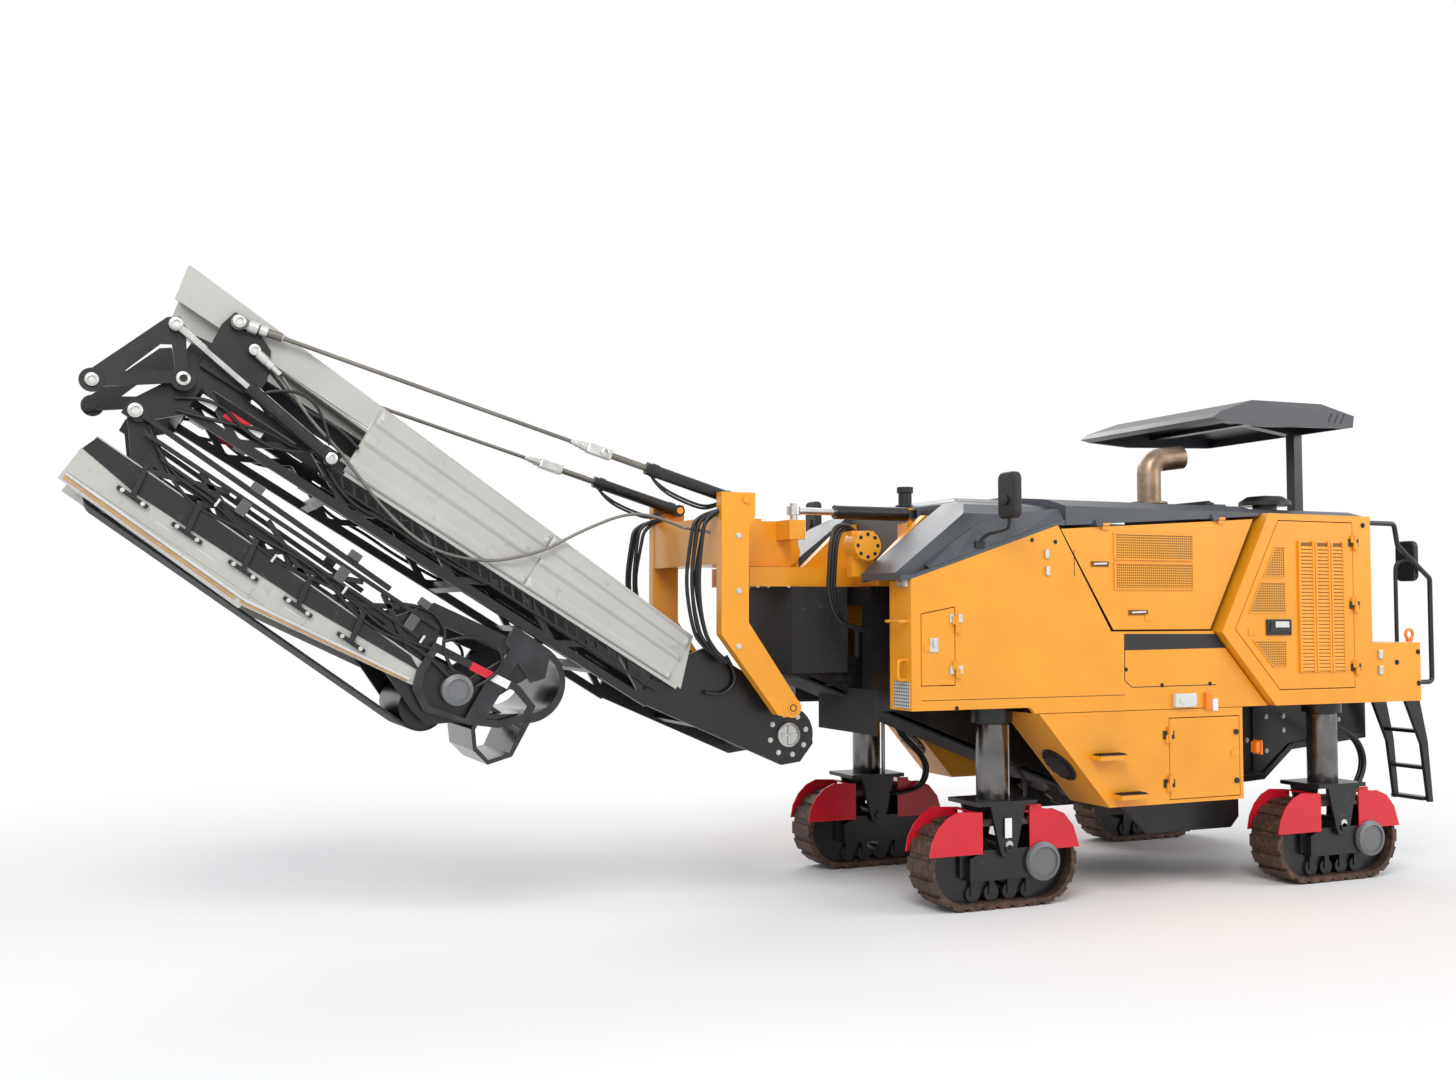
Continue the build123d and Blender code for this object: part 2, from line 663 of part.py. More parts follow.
def make_hoods():
    """Sloping front hood, open in the middle for the mast, and the crowned engine hood behind it."""
    with BuildPart() as front:
        with BuildSketch(Plane.YZ.offset(at(-830))):
            hood_section(2395, 2570)
        extrude(amount=at(356) - at(-830))
        nose = [(-840, 2050), (-330, 2440), (-235, 2510), (0, 2580), (0, 2700), (-840, 2700)]
        plate(placed(nose), -HALF, HALF, mode=Mode.SUBTRACT)
        slope = [(-840, 2000), (-760, 2018.4), (300, 2362.4), (360, 2362.4), (360, 1900), (-840, 1900)]
        plate(placed(slope), -HALF, HALF, mode=Mode.SUBTRACT)
        side_cut = [(-840, 2045), (-745, 2045), (356, 2405), (356, 2700), (-840, 2700)]
        for _, side in SIDES:
            y0, y1 = span(side, PANEL_HALF - 60, PANEL_HALF + 10)
            plate(placed(side_cut), y0, y1, mode=Mode.SUBTRACT)
        block(at(-850), at(NOTCH_END), -NOTCH_HALF, NOTCH_HALF, 1980, 2700, mode=Mode.SUBTRACT)
        core = [
            (-850, 1900),
            (-850, 2010),
            (-700, 2042),
            (-250, 2330),
            (0, 2400),
            (330, 2440),
            (330, 1900),
        ]
        for _, side in SIDES:
            y0, y1 = span(side, NOTCH_HALF + WALL, PANEL_HALF - WALL)
            plate(placed(core), y0, y1, mode=Mode.SUBTRACT)
        block(at(NOTCH_END + WALL), at(330), -700, 700, 1900, 2540, mode=Mode.SUBTRACT)
    save(front, "front_hood")

    with BuildPart() as engine:
        with BuildSketch(Plane.YZ.offset(at(360))):
            hood_section(2485, HOOD_TOP)
        extrude(amount=at(2876) - at(360))
        block(at(1975), at(2880), -HALF, HALF, ROOF_TOP, 2700, mode=Mode.SUBTRACT)
        roof = ROOF_BOTTOM + SEAT_GAP
        cut = [(350, 2362), (1940, 2463), (1940, roof), (2880, roof), (2880, 1900), (350, 1900)]
        plate(placed(cut), -HALF, HALF, mode=Mode.SUBTRACT)
        block(at(390), at(1930), -PANEL_HALF + WALL, PANEL_HALF - WALL, 1900, 2482, mode=Mode.SUBTRACT)
        block(at(390), at(2846), -700, 700, 1900, 2540, mode=Mode.SUBTRACT)
        block(at(2010), at(2880), -CABINET_INNER, CABINET_INNER, 1900, 2700, mode=Mode.SUBTRACT)
        for _, side in SIDES:
            hinges(ENGINE_HINGE, ENGINE_STATIONS, (2, -30), side, PANEL_HALF, of_door=False)
    save(engine, "engine_hood")


POST_Y = -250.0  # the canopy's post
CANOPY_HALF = 730.0
EXHAUST_RADIUS, EXHAUST_WALL = 82.0, 5.0


def make_operators_place():
    """Floor, bulkhead and rear wall, the desk, the canopy on its post and the engine's pipes."""
    inner = CABINET_INNER - SEAT_GAP
    floor_bottom = RAIL_TOP + SEAT_GAP
    with BuildPart() as platform:
        block(at(2010), at(3300), -inner, inner, floor_bottom, FLOOR_Z)
        block(at(2010), at(2040), -inner, inner, FLOOR_Z, 2476)
        block(at(3270), at(3300), -inner, inner, FLOOR_Z, 2050)
    save(platform, "operator_platform")

    with BuildPart() as console:
        foot = FLOOR_Z + SEAT_GAP
        desk = [(2060, foot), (2060, 2560), (2130, 2620), (2420, 2480), (2300, 2380), (2300, foot)]
        plate(placed(desk), -420, 420)
    save(console, "control_console")

    roof_top, roof_edge, eave = 3320.0, 3250.0, 3160.0
    with BuildPart() as canopy:
        outline = [
            (1890, 3170),
            (1960, 3215),
            (2250, roof_top - 8),
            (2900, roof_top),
            (3220, roof_edge),
            (3205, 3165),
            (3150, eave),
            (2350, 3130),
            (1990, 3150),
        ]
        plate(placed(outline), -CANOPY_HALF, CANOPY_HALF)
        hollow = [
            (1960, 3100),
            (1990, 3190),
            (2270, roof_top - 45),
            (2890, roof_top - 36),
            (3180, roof_edge - 30),
            (3170, 3100),
        ]
        inside = CANOPY_HALF - WALL
        plate(placed(hollow), -inside, inside, mode=Mode.SUBTRACT)
    save(canopy, "canopy")

    with BuildPart() as post_frame:
        y0, y1 = POST_Y - 40, POST_Y + 40
        block(at(3080), at(3160), y0, y1, FLOOR_Z + SEAT_GAP, 3190)
        boom = [
            (3080, 3150),
            (2400, 3232),
            (2400, 3276),
            (2880, 3283.4),
            (3140, 3220),
            (3160, 3190),
            (3080, 3190),
        ]
        plate(placed(boom), y0, y1)
        inside = CANOPY_HALF - WALL - 1
        block(at(2560), at(2640), -inside, inside, 3200, 3240)
    save(post_frame, "canopy_post")

    hood_top = HOOD_TOP + SEAT_GAP
    x, y = at(1650), -350
    with BuildPart() as exhaust:
        path = [(x, y, hood_top), (x, y, 2890), (x + 255, y - 45, 2925)]
        bar(path, 100, EXHAUST_RADIUS, EXHAUST_RADIUS - EXHAUST_WALL)
        with BuildSketch(Plane.XY.offset(hood_top)):
            with Locations((x, y)):
                Circle(125)
                Circle(EXHAUST_RADIUS - EXHAUST_WALL, mode=Mode.SUBTRACT)
        extrude(amount=14)
    save(exhaust, "exhaust_pipe")

    with BuildPart() as intake:
        x, y, base = at(2230), -850, ROOF_TOP + SEAT_GAP
        with BuildSketch(Plane.XZ.offset(-y)):
            with BuildLine():
                Polyline(
                    (x, base),
                    (x + 80, base),
                    (x + 80, base + 34),
                    (x + 172, base + 34),
                    (x + 172, base + 62),
                    (x + 120, base + 96),
                    (x, base + 108),
                    close=True,
                )
            make_face()
        revolve(axis=Axis((x, y, 0), (0, 0, 1)))
    save(intake, "air_intake")


def hood_edge(x):
    """Height of the front hood's upper side edge at a station from the front axle."""
    return 2045 + (x + 745) * (2405 - 2045) / (356 + 745)


def make_fittings():
    """Handrails, mirrors, ladder, filler neck."""
    rail = 17.0
    face = BODY_REAR + rail + SEAT_GAP
    with BuildPart() as handrails:
        for _, side in SIDES:
            y = side * 1110
            low = face + 150
            route = [
                (at(2876) + SEAT_GAP, y, 2440),
                (at(3160), y, 2440),
                (at(3190), y, 2290),
                (low, y, 2060),
                (low, y, 1330),
                (BODY_REAR + SEAT_GAP, y, 1330),
            ]
            bar(route, 35, rail)
    save(handrails, "handrails")

    with BuildPart() as mirrors:
        for _, side in SIDES:
            y = side * (PANEL_HALF - 12)
            base = hood_edge(-270)
            route = [
                (at(-270), y, base + 4.3),
                (at(-270), y, base + 70),
                (at(-180), y + side * 150, base + 110),
                (at(-180), y + side * 190, 2390),
            ]
            bar(route, 25, 12)
            y0, y1 = sorted((y + side * 100, y + side * 280))
            block(at(-210), at(-150), y0, y1, 2380, 2660)
            y = side * 1000
            pole = [(at(3290), y, 1610 + SEAT_GAP), (at(3290), y, 2150), (at(3390), y, 2190)]
            bar(pole, 30, 12)
            block(at(3380), at(3430), y - 85, y + 85, 2040, 2330)
    save(mirrors, "mirrors")

    profile = [
        (3330 + SEAT_GAP, 1560),
        (3400, 1560),
        (3560, 900),
        (3600, 470),
        (3560, 470),
        (3500, 880),
        (3330 + SEAT_GAP, 1240),
    ]
    cheek, inner, outer = 26.0, 690.0, 1010.0
    with BuildPart() as ladder:
        for _, side in SIDES:
            plate(placed(profile), *span(side, inner, inner + cheek))
            plate(placed(profile), *span(side, outer - cheek, outer))
            y0, y1 = span(side, inner + cheek, outer - cheek)
            for x, z in ((3375, 1500), (3440, 1230), (3500, 960), (3550, 700), (3560, 480)):
                block(at(x) - 40, at(x) + 40, y0, y1, z, z + 24)
    save(ladder, "ladders")


# ------------------------------------------------------------------ mast, slewing frame and stays
MAST_BOTTOM, MAST_TOP = FRONT_BEAM_TOP + SEAT_GAP, 2105.0
SLEW_BLOCK = (MAST_TOP + 6, 2400.0)
SLEW_FOOT = (-300.0, -330.0)  # slewing cylinder's rear pin, X from the front axle and Y
SLEW_EYE = (-1150.0, -330.0)
SLEW_LEVEL = 2460.0
SKIRT_BOTTOM = 1440.0


def make_mast():
    """Fixed mast under the slewing pin, and the rubber skirt that hangs from it."""
    with BuildPart() as mast:
        block(at(-1440), at(-240), -300, 300, MAST_BOTTOM, MAST_TOP)
        block(at(-700), at(-240), -NOTCH_HALF + 2, NOTCH_HALF - 2, MAST_BOTTOM, MAST_TOP)
        post(at(SLEW_X), 0, SLEW_PIN_RADIUS, MAST_TOP, SLEW_BLOCK[1] + 24)
        for _, side in SIDES:
            y0, y1 = span(side, 500, 560)
            plate(placed([(-700, MAST_TOP), (-240, MAST_TOP), (-240, 2440), (-330, 2440)]), y0, y1)
            block(at(-860), at(-700), y0, y1, MAST_BOTTOM + 60, 2330)
            disc(at(-790), 2235, 92, *span(side, 480, 640))
        x, y = at(SLEW_FOOT[0]), SLEW_FOOT[1]
        block(x - 60, x + 60, y - 60, y + 60, MAST_TOP, SLEW_LEVEL - 60)
        post(x, y, 24, SLEW_LEVEL - 60, SLEW_LEVEL + 40)
    save(mast, "front_mast")

    with BuildPart() as skirt:
        top = MAST_BOTTOM - SEAT_GAP
        block(at(-1160), at(-1145), -326, 326, SKIRT_BOTTOM, top)
        for _, side in SIDES:
            y0, y1 = span(side, CHUTE_HALF + 10, CHUTE_HALF + 26)
            block(at(-1145), at(-765), y0, y1, SKIRT_BOTTOM, top)
    save(skirt, "rubber_skirt")


def make_slew_frame():
    """Yellow frame that turns on the mast: head block, two arms and their pins."""
    arm = [
        (-1765, 2540),
        (-1765, 1690),
        (-1395, 1205),
        (-1330, 1190),
        (-1270, 1225),
        (-1262, 1290),
        (-1588, 1760),
        (-1588, 2330),
        (-1545, 2400),
        (-1545, 2540),
    ]
    luff = REAR_SECTION.from_local_coords((*LUFF_PIN, 0))
    with BuildPart() as frame:
        for _, side in SIDES:
            plate(placed(arm), *span(side, ARM_INNER, ARM_OUTER))
            disc(luff.X, luff.Z, 32, *span(side, FRAME_INNER - 8, ARM_OUTER + 14))
            disc(at(STAY_FOOT[0]), STAY_FOOT[1], LINK_PIN_RADIUS, *span(side, STAY_Y - 42, ARM_OUTER + 12))
        block(at(-1760), at(-1560), -ARM_INNER, ARM_INNER, SLEW_BLOCK[0], SLEW_BLOCK[1])
        block(at(-1560), at(-1100), -190, 190, SLEW_BLOCK[0], SLEW_BLOCK[1])
        post(at(SLEW_X), 0, SLEW_PIN_RADIUS + FIT_GAP, 2000, 2600, mode=Mode.SUBTRACT)
        x, y = at(SLEW_EYE[0]), SLEW_EYE[1]
        block(x - 55, x + 55, y - 55, -190, SLEW_BLOCK[1] - 120, SLEW_BLOCK[1])
    save(frame, "slew_frame")

    x0, x1 = at(SLEW_FOOT[0]), at(SLEW_EYE[0])
    y, z = SLEW_FOOT[1], SLEW_LEVEL
    with BuildPart() as barrel:
        rod((x0 - 560, y, z), (x0 - 36, y, z), 45)
        rod((x0 - 561, y, z), (x0 - 62, y, z), 22 + FIT_GAP, mode=Mode.SUBTRACT)
        post(x0, y, 46, z - 26, z + 26)
        post(x0, y, 24 + FIT_GAP, z - 60, z + 60, mode=Mode.SUBTRACT)
    save(barrel, "slew_cylinder")
    with BuildPart() as ram:
        rod((x0 - 295, y, z), (x1 + 30, y, z), 22)
        post(x1, y, 44, z - 26, z + 26)
        post(x1, y, 24, SLEW_BLOCK[1] + 6, z + 46)
    save(ram, "slew_rod")


def make_stays():
    """Lifting cylinders from the slewing frame, and the ropes from their rods to the conveyor."""
    foot = Vector(at(STAY_FOOT[0]), 0, STAY_FOOT[1])
    anchor = REAR_SECTION.from_local_coords((*STAY_ANCHOR, 0))
    stay = Plane(origin=foot, x_dir=anchor - foot, z_dir=(0, 1, 0))
    length = (anchor - foot).length
    half = 24.0

    def along(distance, side):
        return tuple(stay.from_local_coords((distance, 0, side * STAY_Y)))

    with BuildPart() as barrels:
        for _, side in SIDES:
            rod(along(34, side), along(STAY_BARREL, side), STAY_BARREL_RADIUS)
            rod(along(90, side), along(STAY_BARREL + 1, side), STAY_ROD_RADIUS + FIT_GAP, mode=Mode.SUBTRACT)
            section_disc(stay, (0, 0), 40, side * STAY_Y - half, side * STAY_Y + half)
            pin_hole = LINK_PIN_RADIUS + FIT_GAP
            section_disc(stay, (0, 0), pin_hole, side * STAY_Y - 50, side * STAY_Y + 50, Mode.SUBTRACT)
    save(barrels, "stay_cylinders")
    with BuildPart() as ropes:
        for _, side in SIDES:
            rod(along(STAY_BARREL - 290, side), along(STAY_BARREL + 240, side), STAY_ROD_RADIUS)
            section_block(stay, STAY_BARREL + 230, STAY_BARREL + 380, -30, 30, side * STAY_Y - 26, side * STAY_Y + 26)
            rod(along(STAY_BARREL + 380, side), along(length - 220, side), ROPE_RADIUS)
            rod(along(length - 230, side), along(length - 60, side), 24)
            y0, y1 = side * STAY_Y - 22, side * STAY_Y + 22
            section_block(stay, length - 70, length, -26, 26, y0, y1)
            section_disc(stay, (length, 0), 42, y0, y1)
            section_disc(stay, (length, 0), 20, *span(side, 463, 516))
    save(ropes, "stay_ropes")


# ------------------------------------------------------------------ discharge conveyor
BEAM_END = 4110.0
BOARD_END = 4340.0
FOLD_BELT_END = 2140.0
FOLD_BELT_LINE = -FOLD_HINGE[1]
REAR_HEAD_RADIUS = 70.0
HOOP_HALF = 300.0  # half the width of the chute hoop under the discharge drum


def section_bar(section, start, end, width, y0, y1):
    """A square bar between two points of a section's plane."""
    run = Vector(end[0] - start[0], end[1] - start[1])
    normal = Vector(-run.Y, run.X).normalized() * (width / 2)
    corners = [
        (start[0] + normal.X, start[1] + normal.Y),
        (end[0] + normal.X, end[1] + normal.Y),
        (end[0] - normal.X, end[1] - normal.Y),
        (start[0] - normal.X, start[1] - normal.Y),
    ]
    section_plate(section, corners, y0, y1)


def truss(section, x0, x1, low, high, bays, width, y0, y1):
    """Two chords and the zigzag between them."""
    section_block(section, x0, x1, low - width / 2, low + width / 2, y0, y1)
    section_block(section, x0, x1, high - width / 2, high + width / 2, y0, y1)
    bay = (x1 - x0) / bays
    for i in range(bays):
        start, end = (low, high) if i % 2 == 0 else (high, low)
        section_bar(section, (x0 + i * bay, start), (x0 + (i + 1) * bay, end), width * 0.7, y0, y1)


def make_conveyor():
    """Lower section: frame with the tail drum, belt, and the covers along its sides."""
    y_pins = FRAME_OUTER + 34
    with BuildPart() as frame:
        for _, side in SIDES:
            y0, y1 = span(side, FRAME_INNER, FRAME_OUTER)
            tail = [(-60, -180), (955, -323), (955, -90), (760, 164), (120, 190), (-90, 150), (-178, 40), (-160, -100)]
            section_plate(REAR_SECTION, tail, y0, y1)
            truss(REAR_SECTION, 900, BEAM_END - 130, -300, -110, 9, 50, y0, y1)
            head = [(3940, -330), (4100, -490), (4190, -490), (4196, -420), (4110, -250), (4110, 60), (3700, 120), (3700, -80), (3940, -130)]
            section_plate(REAR_SECTION, head, y0, y1)
            section_disc(REAR_SECTION, FOLD_HINGE, LINK_PIN_RADIUS, *span(side, 350, FRAME_OUTER + 8))
            section_disc(REAR_SECTION, LUFF_PIN, 32 + FIT_GAP, y0 - 10, y1 + 10, Mode.SUBTRACT)
            c0, c1 = span(side, FRAME_OUTER, 441)
            section_block(REAR_SECTION, 3720, 3960, -60, 90, c0, c1)
            bracket = [(3690, -70), (4010, -70), (4040, 180), (4020, 275), (3925, 280), (3760, 205), (3690, 60)]
            section_plate(REAR_SECTION, bracket, *span(side, 441, 457))
            section_disc(REAR_SECTION, PLATE_PIVOT, 24, *span(side, FRAME_OUTER, 506))
            section_block(REAR_SECTION, 3150, 3260, -160, -60, *span(side, FRAME_OUTER, 470))
            section_disc(REAR_SECTION, FOLD_FOOT, LINK_PIN_RADIUS, *span(side, 470, 540))
        for along, low in ((500, -240), (1300, -320), (2200, -320), (3100, -320), (3970, -320)):
            section_block(REAR_SECTION, along - 25, along + 25, low, low + 50, -FRAME_INNER, FRAME_INNER)
        section_disc(REAR_SECTION, (0, 0), DRUM_RADIUS - SEAT_GAP, -BELT_HALF - 10, BELT_HALF + 10)
        section_disc(REAR_SECTION, (0, 0), 34, -FRAME_INNER, FRAME_INNER)
        head_x = BEAM_END - 110
        section_disc(REAR_SECTION, (head_x, 0), REAR_HEAD_RADIUS - SEAT_GAP, -BELT_HALF - 10, BELT_HALF + 10)
        section_disc(REAR_SECTION, (head_x, 0), 25, -FRAME_INNER, FRAME_INNER)
    save(frame, "conveyor_frame")

    belt_loop(REAR_SECTION, 0, BEAM_END - 110, 0, DRUM_RADIUS, REAR_HEAD_RADIUS, "conveyor_belt")

    with BuildPart() as covers:
        for _, side in SIDES:
            y0, y1 = span(side, FRAME_OUTER + SEAT_GAP, FRAME_OUTER + COVER_THICKNESS)
            cover = [(770, -124), (3100, -124), (3117, 290), (864, 165)]
            section_plate(REAR_SECTION, cover, y0, y1)
            board = [(3117, 150), (BOARD_END - 40, 160), (BOARD_END, 335), (3117, 290)]
            section_plate(REAR_SECTION, board, y0, y1)
            top0, top1 = span(side, 330, FRAME_OUTER + COVER_THICKNESS)
            section_plate(REAR_SECTION, [(864, 165), (BOARD_END, 335), (BOARD_END, 353), (864, 183)], top0, top1)
    save(covers, "conveyor_covers")


def belt_loop(section, x0, x1, line, radius0, radius1, name):
    """An endless belt round two drums that may differ in size."""

    def loop(extra):
        with BuildLine() as edge:
            r0, r1 = radius0 + extra, radius1 + extra
            Polyline((x0, line + r0), (x1, line + r1))
            ThreePointArc((x1, line + r1), (x1 + r1, line), (x1, line - r1))
            Polyline((x1, line - r1), (x0, line - r0))
            ThreePointArc((x0, line - r0), (x0 - r0, line), (x0, line + r0))
        return edge.line

    with BuildPart() as belt:
        with BuildSketch(section.offset(-BELT_HALF)) as profile:
            make_face(loop(CONVEYOR_BELT))
            make_face(loop(0), mode=Mode.SUBTRACT)
        extrude(profile.sketch, amount=2 * BELT_HALF)
    save(belt, name)


def make_fold_gear():
    """Triangular plates that swing the upper section over, and the cylinders that push them."""
    with BuildPart() as plates:
        for _, side in SIDES:
            y0, y1 = span(side, 470, 492)
            outline = [(3985, -215), (4075, -235), (4400, -490), (4440, -440), (4425, -395), (4275, 45), (4225, 85), (4170, 50)]
            section_plate(REAR_SECTION, outline, y0, y1)
            window = [(4090, -170), (4290, -310), (4225, -90), (4180, -60)]
            section_plate(REAR_SECTION, window, y0 - 5, y1 + 5, Mode.SUBTRACT)
            section_disc(REAR_SECTION, PLATE_PIVOT, 24 + FIT_GAP, y0 - 10, y1 + 10, Mode.SUBTRACT)
            section_disc(REAR_SECTION, PLATE_FRONT_PIN, 26, *span(side, 462, 505))
    save(plates, "fold_plates")

    foot = REAR_SECTION.from_local_coords((*FOLD_FOOT, 0))
    eye = REAR_SECTION.from_local_coords((*PLATE_TOP_PIN, 0))
    push = Plane(origin=foot, x_dir=eye - foot, z_dir=(0, 1, 0))
    length = (eye - foot).length
    y_line = 518.0

    def along(distance, side):
        return tuple(push.from_local_coords((distance, 0, side * y_line)))

    with BuildPart() as barrels:
        for _, side in SIDES:
            y0, y1 = side * y_line - 20, side * y_line + 20
            rod(along(30, side), along(FOLD_BARREL, side), FOLD_BARREL_RADIUS)
            bore = FOLD_ROD_RADIUS + FIT_GAP
            rod(along(70, side), along(FOLD_BARREL + 1, side), bore, mode=Mode.SUBTRACT)
            section_disc(push, (0, 0), 40, y0, y1)
            section_disc(push, (0, 0), LINK_PIN_RADIUS + FIT_GAP, y0 - 9, y1 + 9, Mode.SUBTRACT)
    save(barrels, "fold_cylinders")
    with BuildPart() as rams:
        for _, side in SIDES:
            y0, y1 = side * y_line - 18, side * y_line + 18
            rod(along(FOLD_BARREL - 120, side), along(length - 30, side), FOLD_ROD_RADIUS)
            section_disc(push, (length, 0), 36, y0, y1)
            section_disc(push, (length, 0), 20, *span(side, 498, y_line + 26))
    save(rams, "fold_rods")


def make_upper_section():
    """Upper section, folded back under the lower one: frame, belt, side boards and discharge hood."""
    line = FOLD_BELT_LINE
    with BuildPart() as frame:
        for _, side in SIDES:
            y0, y1 = span(side, FRAME_INNER, FRAME_OUTER)
            truss(FOLD_SECTION, 180, 1880, 165, 330, 8, 45, y0, y1)
            lug = [(-42, -30), (30, -42), (260, 110), (260, 240), (150, 240), (-20, 40)]
            section_plate(FOLD_SECTION, lug, *span(side, 352, 378))
            section_block(FOLD_SECTION, 180, 260, 145, 240, *span(side, 378, FRAME_INNER))
            section_disc(FOLD_SECTION, (0, 0), LINK_PIN_RADIUS + FIT_GAP, *span(side, 340, 385), Mode.SUBTRACT)
            end = [(1700, 140), (1850, -60), (2500, -170), (2560, -60), (2330, 420), (2200, 520), (2080, 500), (1700, 350)]
            section_plate(FOLD_SECTION, end, y0, y1)
            window = [(1960, 20), (2380, -60), (2260, 170), (2000, 200)]
            section_plate(FOLD_SECTION, window, y0 - 5, y1 + 5, Mode.SUBTRACT)
        for along in (220, 900, 1600):
            section_block(FOLD_SECTION, along - 25, along + 25, 150, 200, -FRAME_INNER, FRAME_INNER)
        for along in (110, FOLD_BELT_END):
            radius = REAR_HEAD_RADIUS if along < 500 else DRUM_RADIUS
            section_disc(FOLD_SECTION, (along, line), radius - SEAT_GAP, -BELT_HALF - 10, BELT_HALF + 10)
        section_disc(FOLD_SECTION, (FOLD_BELT_END, line), 34, -FRAME_INNER, FRAME_INNER)
        section_disc(FOLD_SECTION, (110, line), 22, -FRAME_INNER, FRAME_INNER)
        for _, side in SIDES:
            section_plate(FOLD_SECTION, [(60, 330), (230, 310), (230, 482), (60, 482)], *span(side, FRAME_INNER, FRAME_OUTER))
            section_block(FOLD_SECTION, 180, 230, 180, 330, *span(side, FRAME_INNER, FRAME_OUTER))
    save(frame, "upper_frame")

    belt_loop(FOLD_SECTION, 110, FOLD_BELT_END, line, REAR_HEAD_RADIUS, DRUM_RADIUS, "upper_belt")

    with BuildPart() as boards:
        for _, side in SIDES:
            y0, y1 = span(side, FRAME_OUTER + 6, FRAME_OUTER + 6 + COVER_THICKNESS)
            board = [
                (-66, 217),
                (1980, 250),
                (2040, 380),
                (1008, 530),
                (-90, 482.3),
                (-90, 310),
                (-66, 300),
            ]
            section_plate(FOLD_SECTION, board, y0, y1)
            lip = [(-90, 482.3), (0, 486.2), (0, 504.2), (-90, 500.3)]
            section_plate(FOLD_SECTION, lip, y0, y1)
            flange = [(-20, 485.3), (1008, 530), (1008, 548), (-20, 503.3)]
            section_plate(FOLD_SECTION, flange, *span(side, 350, FRAME_OUTER + 6 + COVER_THICKNESS))
            for along in (300, 900, 1500):
                section_block(FOLD_SECTION, along, along + 60, 300, 350, *span(side, FRAME_OUTER + SEAT_GAP, FRAME_OUTER + 6))
    save(boards, "upper_boards")

    hoop_outer = [
        (2440, 230),
        (2452, 400),
        (2530, 492),
        (2650, 515),
        (2745, 400),
        (2722, 150),
        (2680, 150),
        (2720, 392),
        (2638, 490),
        (2540, 468),
        (2474, 388),
        (2462, 230),
    ]
    with BuildPart() as hood:
        section_plate(FOLD_SECTION, hoop_outer, -HOOP_HALF, HOOP_HALF)
        section_block(FOLD_SECTION, 2450, 2715, 225, 245, -HOOP_HALF, 60 - HOOP_HALF)
        section_block(FOLD_SECTION, 2450, 2715, 225, 245, HOOP_HALF - 60, HOOP_HALF)
        y = FRAME_OUTER + SEAT_GAP
        with BuildSketch(FOLD_SECTION.offset(-y)) as profile:
            with BuildLine():
                Polyline((2300, -210), (2560, -210))
                ThreePointArc((2560, -210), (2768, -40), (2700, 190))
                Polyline((2700, 190), (2470, 330), (2440, 300), (2660, 150))
                ThreePointArc((2660, 150), (2728, -40), (2555, -172))
                Polyline((2555, -172), (2300, -172), (2300, -210))
            make_face()
        extrude(profile.sketch, amount=2 * y)
        for _, side in SIDES:
            cheek = [(2300, -210), (2560, -210), (2620, -60), (2560, 10), (2300, -100)]
            section_plate(FOLD_SECTION, cheek, *span(side, y, y + 12))
            guard = [
                (1965, 124),
                (2505, 58),
                (2655, 106),
                (2662, 190),
                (2540, 322),
                (2380, 400),
                (2130, 471),
                (2008, 405),
                (1973, 312),
            ]
            inside = [(2010, 165), (2330, 120), (2350, 380), (2140, 430), (2050, 370), (2015, 300)]
            beside = [(2440, 110), (2500, 100), (2615, 130), (2620, 175), (2520, 285), (2445, 325)]
            near, far = y + COVER_THICKNESS + 7, y + COVER_THICKNESS + 25
            section_plate(FOLD_SECTION, guard, *span(side, near, far))
            section_plate(FOLD_SECTION, inside, *span(side, near - 1, far + 1), Mode.SUBTRACT)
            section_plate(FOLD_SECTION, beside, *span(side, near - 1, far + 1), Mode.SUBTRACT)
            section_block(FOLD_SECTION, 2350, 2430, -90, 130, *span(side, y, near))
    save(hood, "discharge_hood")


def build():
    os.makedirs("parts", exist_ok=True)
    make_crawlers()
    make_chassis()
    make_drum()
    make_feed_conveyor()
    make_side_panels()
    make_cabinets()
    make_lower_boxes()
    make_doors()
    make_hoods()
    make_operators_place()
    make_fittings()
    make_mast()
    make_slew_frame()
    make_stays()
    make_conveyor()
    make_fold_gear()
    make_upper_section()


build()
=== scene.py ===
# %% [markdown]
# # A cold planer on crawlers
# The machine mills off old asphalt with a drum under its body and throws it forward over two belts.
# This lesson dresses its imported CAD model: the frame gives every size and every moving body, and the
# cells below add finishes and the small things, such as louvres, hoses, bolts and seams.

# %% Start from the frame
import json
from math import cos, pi, radians, sin

import bpy
from mathutils import Matrix, Vector


